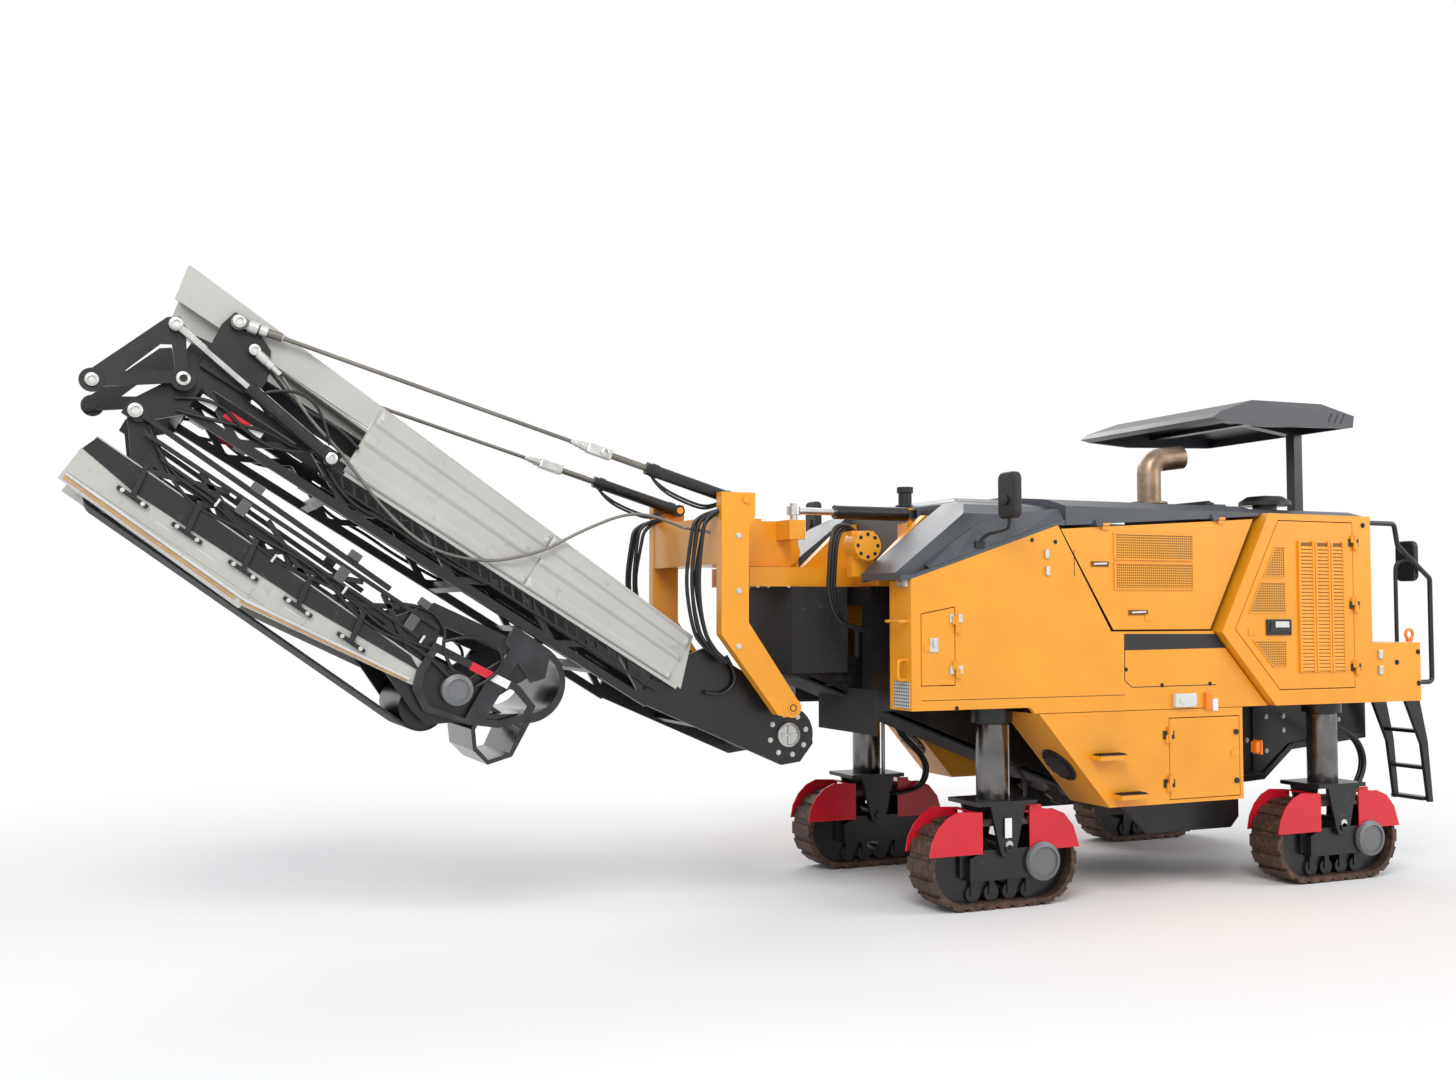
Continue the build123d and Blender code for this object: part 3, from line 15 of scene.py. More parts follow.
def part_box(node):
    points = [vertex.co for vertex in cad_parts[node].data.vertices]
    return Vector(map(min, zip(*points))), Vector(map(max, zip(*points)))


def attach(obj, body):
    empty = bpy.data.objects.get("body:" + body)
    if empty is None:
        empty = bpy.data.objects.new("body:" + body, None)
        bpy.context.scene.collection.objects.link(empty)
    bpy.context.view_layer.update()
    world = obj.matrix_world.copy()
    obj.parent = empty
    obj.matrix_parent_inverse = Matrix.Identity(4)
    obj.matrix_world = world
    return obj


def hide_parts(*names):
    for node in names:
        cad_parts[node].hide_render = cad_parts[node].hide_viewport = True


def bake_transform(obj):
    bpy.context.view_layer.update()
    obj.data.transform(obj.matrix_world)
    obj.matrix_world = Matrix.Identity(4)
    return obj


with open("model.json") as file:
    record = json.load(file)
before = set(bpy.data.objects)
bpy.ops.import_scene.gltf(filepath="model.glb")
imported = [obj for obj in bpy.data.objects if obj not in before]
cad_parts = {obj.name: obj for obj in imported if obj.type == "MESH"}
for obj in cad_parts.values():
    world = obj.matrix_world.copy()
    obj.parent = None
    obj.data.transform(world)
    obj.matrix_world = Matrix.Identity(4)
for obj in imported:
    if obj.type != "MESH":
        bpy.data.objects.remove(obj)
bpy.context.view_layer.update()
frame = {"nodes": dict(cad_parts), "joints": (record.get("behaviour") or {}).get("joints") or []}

# %% [markdown]
# ## Where things are
# Heights and lengths below are metres from the ground and from the front columns, as a fitter would
# measure them. The columns, the luffing pin and the fold hinge come from the frame itself, so the
# dressing stays on the machine if those move.

# %% Stations and sides
def middle_x(node):
    low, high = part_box(node)
    return (low[0] + high[0]) / 2


FRONT_AXLE, REAR_AXLE = middle_x("front_left_leg"), middle_x("rear_left_leg")
PANEL_FACE = 1.10  # outer face of the flat side panels, from the middle
CABINET_FACE = 1.16
ALONG, UP = Vector((1, 0, 0)), Vector((0, 0, 1))
OUT = Vector((0, -1, 0))  # away from the machine on its left side
pins = {joint["name"]: joint.get("pos_m") for joint in frame["joints"]}
print("front columns at", FRONT_AXLE, "rear columns at", REAR_AXLE)


def at(offset):
    """Frame X of a station given from the front columns."""
    return FRONT_AXLE + offset


def on_side(x, z, stand=0.0, face=PANEL_FACE):
    """A point of the left side, standing out from its face."""
    return Vector((at(x), -face - stand, z))


# %% [markdown]
# The discharge conveyor is a long beam on a slope. Its parts are easier to place along the belt and
# square to it, so two helpers turn such a place into frame coordinates: one for the lower section,
# measured from the tail drum, and one for the folded section, measured from the fold hinge. Turning
# every finished piece would do as well, but then each would carry its own angle.

# %% Conveyor coordinates
LOWER_SLOPE, UPPER_SLOPE = radians(31.7), radians(34.2)
LUFF_PIN = (0.147, 0.118)  # along and up from the tail drum
luff = Vector(pins["conveyor_luff"])
lower_along = Vector((-cos(LOWER_SLOPE), 0, sin(LOWER_SLOPE)))
lower_up = Vector((sin(LOWER_SLOPE), 0, cos(LOWER_SLOPE)))
tail_drum = luff - lower_along * LUFF_PIN[0] - lower_up * LUFF_PIN[1]
fold_hinge = Vector(pins["conveyor_fold"])
upper_along = Vector((cos(UPPER_SLOPE), 0, -sin(UPPER_SLOPE)))
upper_out = Vector((-sin(UPPER_SLOPE), 0, -cos(UPPER_SLOPE)))
LOWER, UPPER = "discharge_conveyor", "upper_conveyor"  # the bodies of the two sections


def on_lower(along, up, y=0.0):
    """A point of the lower section."""
    return tail_drum + lower_along * along + lower_up * up + Vector((0, y, 0))


def on_upper(along, out, y=0.0):
    """A point of the folded section."""
    return fold_hinge + upper_along * along + upper_out * out + Vector((0, y, 0))


print("tail drum", tuple(round(v, 3) for v in tail_drum))

# %% [markdown]
# ## Camera, light and floor
# The camera stands at a person's eye level, off the machine's front left corner, and looks up a
# little. Its turn is written as two angles, because aiming it at an empty would hide them.

# %% Camera
EYE = Vector((at(-5.155), -8.388, 1.83))
YAW, PITCH = radians(23.8), radians(2.84)
SENSOR_WIDTH, FOCAL_LENGTH = 36, 35.357143  # millimetres
camera_data = bpy.data.cameras.new("camera")
camera_data.sensor_width = SENSOR_WIDTH
camera_data.lens = FOCAL_LENGTH
camera = bpy.data.objects.new("camera", camera_data)
bpy.context.scene.collection.objects.link(camera)
camera.location = EYE
camera.rotation_euler = (pi / 2 + PITCH, 0, -YAW)
bpy.context.scene.camera = camera
bpy.context.scene.view_settings.view_transform = "Standard"
print("camera at", tuple(round(v, 2) for v in EYE))


# %% [markdown]
# Three broad lamps light the machine: the key from the front left, a fill from the rear left and one
# from the far side that draws its edges. A sun would be simpler, but its hard shadows make a
# catalogue picture harsh; an area light's shadow is softer the larger it is.

# %% Light
def area_light(name, place, aim, size, watts):
    data = bpy.data.lights.new(name, "AREA")
    data.shape = "RECTANGLE"
    data.size, data.size_y = size
    data.energy = watts
    lamp = bpy.data.objects.new(name, data)
    lamp.location = place
    lamp.rotation_euler = (Vector(aim) - Vector(place)).to_track_quat("-Z", "Y").to_euler()
    bpy.context.scene.collection.objects.link(lamp)


area_light("key", (-6, -10, 11), (0, 0, 1.5), (7, 7), 1250)
area_light("fill", (9, -7, 6), (1, 0, 1.5), (6, 5), 340)
area_light("back", (3, 10, 9), (0, 0, 1.5), (9, 6), 600)

# %% [markdown]
# The camera and every mirror see a plain white world, while the light that falls on paint is a little
# dimmer and cooler. Two backgrounds are mixed by the kind of ray, so the white costs no extra light.
# `wire` makes one shader node, and `plug` gives each input a value or another node's output.

# %% World
def plug(tree, node, inputs):
    for socket, value in inputs.items():
        if isinstance(value, bpy.types.NodeSocket):
            tree.links.new(value, node.inputs[socket])
        else:
            node.inputs[socket].default_value = value


def wire(tree, kind, inputs=None, **settings):
    """A shader node with its settings and its inputs."""
    node = tree.nodes.new("ShaderNode" + kind)
    for name, value in settings.items():
        setattr(node, name, value)
    plug(tree, node, inputs or {})
    return node


def white_rays(tree):
    """One for rays of the camera, off a gloss and through glass; zero for soft light."""
    rays = wire(tree, "LightPath").outputs
    result = rays["Is Camera Ray"]
    for word in ("Is Glossy Ray", "Is Transmission Ray"):
        result = wire(tree, "Math", {0: result, 1: rays[word]}, operation="MAXIMUM").outputs["Value"]
    return result


world = bpy.data.worlds.new("studio")
bpy.context.scene.world = world
world.use_nodes = True
sky = world.node_tree
sky.nodes.clear()
white = wire(sky, "Background", {"Color": (1, 1, 1, 1), "Strength": 1.0})
ambient = wire(sky, "Background", {"Color": (0.93, 0.96, 1, 1), "Strength": 0.62})
shown = wire(sky, "MixShader", {"Fac": white_rays(sky), 1: ambient.outputs[0], 2: white.outputs[0]})
wire(sky, "OutputWorld", {"Surface": shown.outputs[0]})
print("world nodes", len(sky.nodes))

# %% [markdown]
# ## Finishes
# Paint, steel and rubber all start from the same chain of nodes: a base colour that drifts a little
# over the surface, a roughness that drifts with it, and a fine bump. Each could be wired by hand in
# the shader editor; one builder keeps them alike. It works on Object coordinates, so the pattern has
# the same scale on every piece.

# %% The finish builder
GLOSS_DRIFT = 0.1


def ramp(tree, factor, *stops):
    """A colour ramp between two stops, each a position and a colour."""
    node = wire(tree, "ValToRGB", {"Fac": factor})
    for element, (position, colour) in zip(node.color_ramp.elements, stops):
        element.position = position
        element.color = (*colour, 1)
    return node.outputs["Color"]


def mixed(tree, factor, a, b):
    """One colour where the factor is zero, another where it is one."""
    return wire(tree, "Mix", {"Factor": factor, "A": a, "B": b}, data_type="RGBA").outputs["Result"]


def finish(name, colour, drift=0.08, roughness=0.45, bump=0.02, metallic=0.0, scale=3.0, grain=60.0,
           dirt=None, amount=0.0, coat=0.0):
    """A material with cloudy colour, uneven gloss, fine bump and, if asked for, dirt in patches."""
    material = bpy.data.materials.new(name)
    material.use_nodes = True
    tree = material.node_tree
    place = wire(tree, "TexCoord").outputs["Object"]
    cloud = wire(tree, "TexNoise", {"Scale": scale, "Detail": 6, "Vector": place}).outputs["Fac"]
    painted = ramp(tree, cloud, (0.3, [c * (1 - drift) for c in colour]),
                   (0.7, [min(1, c * (1 + drift)) for c in colour]))
    if dirt:
        patch = wire(tree, "TexNoise", {"Scale": scale * 4, "Detail": 10, "Roughness": 0.7,
                                        "Vector": place}).outputs["Fac"]
        edge = ramp(tree, patch, (0.62 - amount * 0.3, (0, 0, 0)), (0.78 - amount * 0.2, (1, 1, 1)))
        painted = mixed(tree, edge, painted, (*dirt, 1))
    low, high = max(0.02, roughness - GLOSS_DRIFT), min(1, roughness + GLOSS_DRIFT)
    gloss = wire(tree, "MapRange", {"To Min": low, "To Max": high, "Value": cloud})
    fine = wire(tree, "TexNoise", {"Scale": grain, "Detail": 3, "Vector": place})
    height = wire(tree, "Bump", {"Strength": bump, "Distance": 0.01, "Height": fine.outputs["Fac"]})
    plug(tree, tree.nodes["Principled BSDF"], {
        "Metallic": metallic, "Coat Weight": coat, "Coat Roughness": 0.12, "Base Color": painted,
        "Roughness": gloss.outputs["Result"], "Normal": height.outputs["Normal"]})
    return material


# %% [markdown]
# The machine's colours come from its real materials: yellow and red enamel with a clear coat, thin
# black paint that collects dust, bare and plated steel, rubber, and soil on the tracks. One call each
# keeps them side by side, where they are easy to balance. A finish that only one cell needs is made
# in that cell.

# %% The palette
# name, colour, drift, roughness, bump
yellow = finish("machine_yellow", (0.80, 0.315, 0.012), 0.05, 0.36, 0.015, coat=0.25)
dark_grey = finish("hood_grey", (0.060, 0.067, 0.078), 0.10, 0.42, 0.03)
canopy_grey = finish("canopy_grey", (0.024, 0.028, 0.036), 0.10, 0.38, 0.03)
cover_grey = finish("cover_grey", (0.45, 0.442, 0.41), 0.05, 0.34, dirt=(0.27, 0.27, 0.25), amount=0.12)
black = finish("frame_black", (0.009, 0.009, 0.010), 0.25, 0.32, 0.04,
               dirt=(0.035, 0.032, 0.029), amount=0.15)
satin_black = finish("satin_black", (0.007, 0.007, 0.008), 0.2, 0.5, 0.03)
polished_black = finish("polished_black", (0.055, 0.056, 0.060), 0.25, 0.17, metallic=0.85, scale=9,
                        dirt=(0.03, 0.028, 0.025), amount=0.15)
red = finish("fender_red", (0.62, 0.006, 0.022), 0.07, 0.33, coat=0.2)
track_steel = finish("track_steel", (0.055, 0.038, 0.030), 0.3, 0.62, 0.2, metallic=0.3, scale=7,
                     dirt=(0.22, 0.085, 0.035), amount=0.45)
drum_steel = finish("drum_steel", (0.10, 0.085, 0.075), 0.3, 0.55, 0.15, metallic=0.5, scale=6,
                    dirt=(0.13, 0.11, 0.09), amount=0.4)
rubber = finish("belt_rubber", (0.013, 0.013, 0.014), 0.2, 0.72, 0.15, grain=120,
                dirt=(0.06, 0.055, 0.05), amount=0.15)
hose_rubber = finish("hose_rubber", (0.008, 0.008, 0.009), 0.2, 0.42, 0.05, grain=200)
steel = finish("bright_steel", (0.62, 0.62, 0.60), 0.1, 0.24, metallic=1.0, scale=12)
zinc = finish("zinc", (0.60, 0.60, 0.57), 0.12, 0.4, 0.04, metallic=0.75, scale=18)
pale_paint = finish("pale_paint", (0.62, 0.62, 0.60), 0.05, 0.4)
exhaust_steel = finish("exhaust_steel", (0.30, 0.215, 0.15), 0.3, 0.38, 0.03, metallic=0.9, scale=9,
                       dirt=(0.12, 0.07, 0.045), amount=0.3)
rope_steel = finish("rope_steel", (0.20, 0.185, 0.165), 0.2, 0.45, 0.2, metallic=0.8, grain=300)
engine_metal = finish("engine_metal", (0.10, 0.10, 0.105), 0.2, 0.5, 0.1, metallic=0.4)
cast_grey = finish("cast_grey", (0.16, 0.165, 0.17), 0.1, 0.45, 0.06, metallic=0.3)
white_tape = finish("white_tape", (0.80, 0.80, 0.80), 0.03, 0.3, 0.04, grain=400)
red_tape = finish("red_tape", (0.62, 0.01, 0.03), 0.05, 0.3, 0.04, grain=400)
orange = finish("lamp_orange", (0.85, 0.22, 0.02), 0.05, 0.25, 0.01)
glass = finish("mirror_face", (0.45, 0.48, 0.50), 0.02, 0.06, 0.0, metallic=1.0)
print(len(bpy.data.materials), "finishes")

# %% [markdown]
# The CAD pieces keep their shapes, so each only needs its finish. A short table says which finish a
# node takes by the last part of its name; whatever it doesn't name is black painted steel. Naming all
# sixty one by one would be longer, and a new door would be forgotten.

# %% Dress the CAD pieces
node_finishes = (
    # endings of the nodes' names, finish; a later row wins
    (("_door", "side_panels", "rear_cabinets", "lower_boxes", "slew_frame", "front_mast"), yellow),
    (("_hood",), dark_grey),
    (("discharge_hood",), polished_black),
    (("canopy",), canopy_grey),
    (("conveyor_covers", "upper_boards"), cover_grey),
    (("_fenders",), red),
    (("_track",), track_steel),
    (("milling_drum",), drum_steel),
    (("_belt", "rubber_skirt"), rubber),
    (("_rod", "_rods"), steel),
    (("stay_ropes",), rope_steel),
    (("exhaust_pipe",), exhaust_steel),
    (("engine_block",), engine_metal),
    (("control_console", "mirrors"), satin_black),
)
for node_name, node in frame["nodes"].items():
    chosen = [material for endings, material in node_finishes if node_name.endswith(endings)]
    node.data.materials.clear()
    node.data.materials.append(chosen[-1] if chosen else black)
print("dressed", len(frame["nodes"]), "CAD pieces")

# %% [markdown]
# ## The workshop
# Sheet metal, bars, bolts and hoses repeat all over the machine, so each gets one small tool. A tool
# starts from a primitive, shapes it in edit mode and hands it back; `fit` then names the piece, gives
# it its finish and says which body carries it. Operators act on all that is selected, so each tool
# starts with nothing selected. Real edges are never razor sharp: `soften` bevels them in the mesh,
# since a bevel made by the shader leaves the outline sharp.

# %% Picking and softening
def select_only(*pieces):
    """Select the pieces and nothing else; with none, select nothing."""
    bpy.ops.object.select_all(action="DESELECT")
    for piece in pieces:
        piece.select_set(True)
    if pieces:
        bpy.context.view_layer.objects.active = pieces[0]


def settle(piece):
    """Put the piece's place, turn and size into its mesh."""
    select_only(piece)
    bpy.ops.object.transform_apply(location=True, rotation=True, scale=True)
    return piece


def soften(piece, width, steps=2, sharper_than=35):
    """Bevel the sharp edges, as a grinder would break them."""
    bpy.ops.object.mode_set(mode="EDIT")
    bpy.ops.mesh.select_mode(type="EDGE")
    bpy.ops.mesh.select_all(action="DESELECT")
    bpy.ops.mesh.edges_select_sharp(sharpness=radians(sharper_than))
    bpy.ops.mesh.bevel(offset=width, segments=steps)
    bpy.ops.object.mode_set(mode="OBJECT")
    return piece


def face_out(piece):
    """Turn every face of a closed piece outwards."""
    bpy.ops.object.mode_set(mode="EDIT")
    bpy.ops.mesh.select_all(action="SELECT")
    bpy.ops.mesh.normals_make_consistent(inside=False)
    bpy.ops.object.mode_set(mode="OBJECT")
    return piece


def pick_faces(piece, facing, nearer=0.9):
    """Go into edit mode with only the faces selected that look along a direction."""
    bpy.ops.object.mode_set(mode="EDIT")
    bpy.ops.mesh.select_mode(type="FACE")
    bpy.ops.mesh.select_all(action="DESELECT")
    bpy.ops.object.mode_set(mode="OBJECT")
    for face in piece.data.polygons:
        face.select = face.normal.dot(facing) > nearer
    bpy.ops.object.mode_set(mode="EDIT")


def recess(piece, facing, rim, shift, nearer=0.9):
    """Inset the faces that look along a direction, and move their middle by the shift."""
    pick_faces(piece, facing, nearer)
    bpy.ops.mesh.inset(thickness=rim)
    bpy.ops.mesh.extrude_region_move(TRANSFORM_OT_translate={"value": tuple(shift)})
    bpy.ops.object.mode_set(mode="OBJECT")
    return piece


def turned(along, up):
    """Axes of a block that lies along one direction, with its top towards another."""
    return Matrix((along, up.cross(along), up)).transposed().to_euler()


LEVEL = turned(ALONG, UP)
UPPER_TURN = turned(upper_along, upper_out)
print("workshop open")

# %% [markdown]
# Four shapes make most fittings: a block cut from bar stock, a plate sawn to an outline, a disc turned
# on a lathe and a sheet bent in a press. The first three are primitives that are sized, extruded and
# bevelled. The sheet is a grid whose corners are laid on its folds, and Solidify gives it its wall.

# %% Blocks, plates and discs
def block(place, size, edge=0.003, turn=LEVEL):
    select_only()
    bpy.ops.mesh.primitive_cube_add(size=1, location=place, rotation=turn, scale=size)
    return soften(settle(bpy.context.object), edge)


def bar(start, end, width, height, edge=0.003):
    """A flat bar between two points in a plane of constant Y."""
    start, end = Vector(start), Vector(end)
    along = (end - start).normalized()
    up = OUT.cross(along)
    return block((start + end) / 2, ((end - start).length, width, height), edge, turned(along, up))


def plate(outline, depth, edge=0.0015):
    """A plate with a corner at each point of the outline, thickened by the depth vector."""
    select_only()
    bpy.ops.mesh.primitive_circle_add(vertices=len(outline), radius=1, fill_type="NGON")
    piece = bpy.context.object
    for corner, point in zip(piece.data.vertices, outline):
        corner.co = point
    bpy.ops.object.mode_set(mode="EDIT")
    bpy.ops.mesh.select_all(action="SELECT")
    bpy.ops.mesh.extrude_region_move(TRANSFORM_OT_translate={"value": tuple(depth)})
    face_out(piece)
    return soften(piece, edge, steps=1) if edge else piece


def disc(place, axis, radius, depth, sides=24, edge=0.002):
    select_only()
    turn = Vector(axis).to_track_quat("Z", "Y").to_euler()
    bpy.ops.mesh.primitive_cylinder_add(vertices=sides, radius=radius, depth=depth, location=place,
                                        rotation=turn)
    return soften(settle(bpy.context.object), edge)


def folded_sheet(rows, thickness):
    """A pressed sheet through rows of points, given its thickness by Solidify."""
    select_only()
    bpy.ops.mesh.primitive_grid_add(x_subdivisions=len(rows[0]) - 1, y_subdivisions=len(rows) - 1)
    piece = bpy.context.object
    for corner, point in zip(piece.data.vertices, [point for row in rows for point in row]):
        corner.co = point
    wall = piece.modifiers.new("wall", "SOLIDIFY")
    wall.thickness = thickness
    wall.offset = 0
    bpy.ops.object.modifier_apply(modifier=wall.name)
    return face_out(piece)


def pin_head(place, radius, stand):
    """A disc on the left side's plates, its face hollowed."""
    head = disc(place + OUT * stand / 2, OUT, radius, stand, sides=28)
    return recess(head, OUT, radius * 0.45, OUT * -0.004)


def ring(centre, radius, count, right=ALONG, up=UP):
    """Places on a circle."""
    turns = [2 * pi * i / count for i in range(count)]
    return [centre + (right * cos(turn) + up * sin(turn)) * radius for turn in turns]


print("shapes ready")

# %% [markdown]
# The machine is nearly the same on both sides. A Mirror modifier could make the second half, but
# doors on the two sides turn on their own bodies, so the left piece is modelled and a mirrored copy
# gets its own mesh. `fit_pair` joins both halves when one body carries them, and `fit_both` keeps
# them apart.

# %% Copies, pairs and joining
def together(parts):
    """Join a list of parts of one finish into one piece; a single piece stays as it is."""
    if isinstance(parts, bpy.types.Object):
        return parts
    select_only(*parts)
    if len(parts) > 1:
        bpy.ops.object.join()
    return parts[0]


def copied(piece, matrix):
    """A copy with its own mesh, moved by the matrix."""
    copy = piece.copy()
    copy.data = piece.data.copy()
    copy.data.transform(matrix)
    bpy.context.scene.collection.objects.link(copy)
    return copy


def repeat(piece, places):
    """Copies of a piece made at the origin, one at each place, joined."""
    copies = [copied(piece, Matrix.Translation(place)) for place in places]
    bpy.data.objects.remove(piece)
    return together(copies)


def mirrored(piece):
    """The same piece for the machine's other side, its faces turned out again."""
    twin = copied(piece, Matrix.Scale(-1, 4, (0, 1, 0)))
    twin.data.flip_normals()
    return twin


def carry(piece, body):
    if body:
        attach(piece, body)
    return piece


def fit(parts, name, body, *finishes):
    """Name a piece, give it its finishes and let its body carry it."""
    piece = settle(together(parts))
    piece.name = name
    if len(piece.data.materials) < 2:
        piece.data.materials.clear()
        for material in finishes:
            piece.data.materials.append(material)
    return carry(piece, body)


def fit_pair(parts, name, body, *finishes):
    """Fit left-hand parts and their mirror images as one piece."""
    piece = together(parts)
    return fit([piece, mirrored(piece)], name, body, *finishes)


def fit_both(parts, name, body, *finishes):
    """Fit a left-hand piece and its mirror image as two; each side's doors carry their own."""
    piece = together(parts)
    for part, side in ((piece, "left_"), (mirrored(piece), "right_")):
        fit(part, side + name, body if body == "machine" else side + body, *finishes)


print("copies and pairs ready")

# %% [markdown]
# A bolt head is a short twelve-sided cylinder, inset and extruded, then copied to each place; a few
# dozen faces are enough at this size. A hose bends evenly and keeps its gauge, which a NURBS curve
# with a round bevel gives for a handful of points. A swept circle in edit mode would need far more.

# %% Bolts and hoses
def bolts(places, radius=0.010, axis=OUT):
    """Bolt heads on washers, standing out along the axis."""
    select_only()
    bpy.ops.mesh.primitive_cylinder_add(vertices=12, radius=radius * 1.5, depth=radius * 0.4,
                                        location=(0, 0, radius * 0.1))
    head = recess(settle(bpy.context.object), UP, radius * 0.5, UP * radius * 0.6)
    head.data.transform(Vector(axis).to_track_quat("Z", "Y").to_matrix().to_4x4())
    return repeat(head, places)


def other_side(routes):
    return [[Vector((x, -y, z)) for x, y, z in route] for route in routes]


def hoses(name, body, radius, routes, material=hose_rubber, both=False):
    """Hoses of one size as NURBS curves through the given points; with no body they are left free."""
    curve = bpy.data.curves.new(name, "CURVE")
    curve.dimensions = "3D"
    curve.bevel_depth = radius
    curve.bevel_resolution = 2
    curve.resolution_u = 8
    curve.use_fill_caps = True
    for route in [*routes, *other_side(routes)] if both else routes:
        spline = curve.splines.new("NURBS")
        spline.points.add(len(route) - 1)
        for knot, point in zip(spline.points, route):
            knot.co = (*point, 1)
        spline.order_u = 3
        spline.use_endpoint_u = True
    piece = bpy.data.objects.new(name, curve)
    bpy.context.scene.collection.objects.link(piece)
    curve.materials.append(material)
    return carry(piece, body)


def as_mesh(curve):
    select_only(curve)
    bpy.ops.object.convert(target="MESH")
    return bpy.context.object


print("bolts and hoses ready")

# %% [markdown]
# ## Vents, louvres and meshes
# The engine breathes through perforated yellow sheets. A hole the size of a pea repeated ten
# thousand times belongs in the finish, not in the mesh: `perforated` repeats one round hole over
# Object coordinates, by scaling them, keeping the fraction and measuring from its middle.

# %% Perforated sheet
def perforated(name, sheet, hole, pitch, along=(1, 0, 1), open_share=0.30):
    """A finish with round holes at one pitch along two of the axes."""
    material = finish(name, sheet, roughness=0.5, grain=200, bump=0.05)
    tree = material.node_tree
    colour = tree.nodes["Principled BSDF"].inputs["Base Color"]
    painted = colour.links[0].from_socket
    out = wire(tree, "TexCoord").outputs["Object"]
    steps = (("MULTIPLY", {1: [axis / pitch for axis in along]}), ("FRACTION", {}),
             ("SUBTRACT", {1: [axis / 2 for axis in along]}))
    for operation, value in steps:
        out = wire(tree, "VectorMath", {0: out, **value}, operation=operation).outputs["Vector"]
    reach = wire(tree, "VectorMath", {0: out}, operation="LENGTH").outputs["Value"]
    rim = wire(tree, "MapRange", {"From Min": open_share, "From Max": open_share + 0.06, "Value": reach})
    tree.links.new(mixed(tree, rim.outputs["Result"], (*hole, 1), painted), colour)
    return material


mesh_yellow = perforated("yellow_mesh", (0.70, 0.29, 0.016), (0.10, 0.035, 0.004), 0.016)
mesh_silver = perforated("silver_mesh", (0.52, 0.52, 0.50), (0.03, 0.03, 0.03), 0.020, (0, 1, 1))
print("perforated finishes ready")


# %% [markdown]
# The perforated sheets are plates with a raised rim and a sunken face. The outline is thickened, its
# outer face is inset for the rim, and the middle goes back a little and takes the second finish.
# A separate frame round a flat sheet would look the same, but would be two pieces on every door.

# %% Vents on the left, mirrored to the right
def framed(outline, face, rim=0.010, stand=0.010):
    """A plate proud of a side face, with a rim round a sunken middle of the second finish."""
    piece = plate([on_side(x, z, 0, face) for x, z in outline], OUT * stand, edge=0)
    recess(piece, OUT, rim, OUT * stand * -0.5)
    for side in piece.data.polygons:
        side.material_index = 1 if side.select else 0
    piece.data.materials.append(yellow)
    piece.data.materials.append(mesh_yellow)
    return piece


for word, low, high in (("upper", 2.155, 2.325), ("lower", 1.965, 2.140)):
    vent = framed([(0.725, low), (1.365, low), (1.365, high), (0.725, high)], PANEL_FACE)
    fit_both(vent, f"{word}_vent", "engine_door", yellow, mesh_yellow)
cabinet_meshes = (
    [(2.006, 2.258), (2.091, 2.259), (2.090, 2.052), (1.899, 2.050)],
    [(1.875, 2.024), (2.092, 2.020), (2.094, 1.815), (1.769, 1.815)],
    [(1.799, 1.636), (2.094, 1.634), (2.094, 1.455), (1.975, 1.457)],
)
for number, outline in enumerate(cabinet_meshes):
    mesh = framed(outline, CABINET_FACE, rim=0.007, stand=0.006)
    fit_both(mesh, f"cabinet_mesh_{number + 1}", "louvre_door", yellow, mesh_yellow)
print("vents and cabinet meshes on")

# %% [markdown]
# The big cooling door has three columns of louvres. One slat is a block with its outer face drawn
# down and out in edit mode; copies of it fill a column between two upright ribs. Stripes in the
# paint would be cheaper, but only real slats cast the fine shadows that make a louvre.

# %% Louvre columns
louvre_shade = finish("louvre_shade", (0.22, 0.085, 0.008), 0.15, 0.6)
LOUVRE_LOW, LOUVRE_HIGH, SLAT_PITCH = 1.43, 2.29, 0.024
louvre_middle, louvre_height = (LOUVRE_LOW + LOUVRE_HIGH) / 2, LOUVRE_HIGH - LOUVRE_LOW
louvre_columns = ((2.208, 2.343), (2.355, 2.485), (2.497, 2.617))
slat_heights = [LOUVRE_LOW + SLAT_PITCH * (0.5 + i) for i in range(int(louvre_height / SLAT_PITCH))]
slats, ribs, backs = [], [], []
for x0, x1 in louvre_columns:
    centre = (x0 + x1) / 2
    slat = block(on_side(centre, 0, 0.004, CABINET_FACE), (x1 - x0 - 0.03, 0.010, 0.013), 0.001)
    pick_faces(slat, OUT)
    bpy.ops.transform.translate(value=(0, -0.004, -0.007))
    bpy.ops.object.mode_set(mode="OBJECT")
    slats.append(repeat(slat, [UP * height for height in slat_heights]))
    for x in (x0 + 0.006, x1 - 0.006):
        place = on_side(x, louvre_middle, 0.008, CABINET_FACE)
        ribs.append(block(place, (0.018, 0.018, louvre_height + 0.02), 0.004))
    backs.append(block(on_side(centre, louvre_middle, 0.001, CABINET_FACE),
                       (x1 - x0 - 0.02, 0.003, louvre_height), 0.0005))
fit_both(slats + ribs, "louvres", "louvre_door", yellow)
fit_both(backs, "louvre_backs", "louvre_door", louvre_shade)
print("louvre columns", len(louvre_columns))

# %% [markdown]
# ## Seams, stripe, handles and latches
# Seams are narrow dark lines where two sheets meet. Cutting a groove into the CAD panel would change
# its mesh, so a strip a few millimetres wide is laid on it. The black stripe along the side is a thin
# plate and stays bare.

# %% Seams and stripe
def strip_line(points, width):
    """Dark lines over the side panels, through the points."""
    return [bar(on_side(*a, 0.0008), on_side(*b, 0.0008), 0.0016, width, 0.0003)
            for a, b in zip(points, points[1:])]


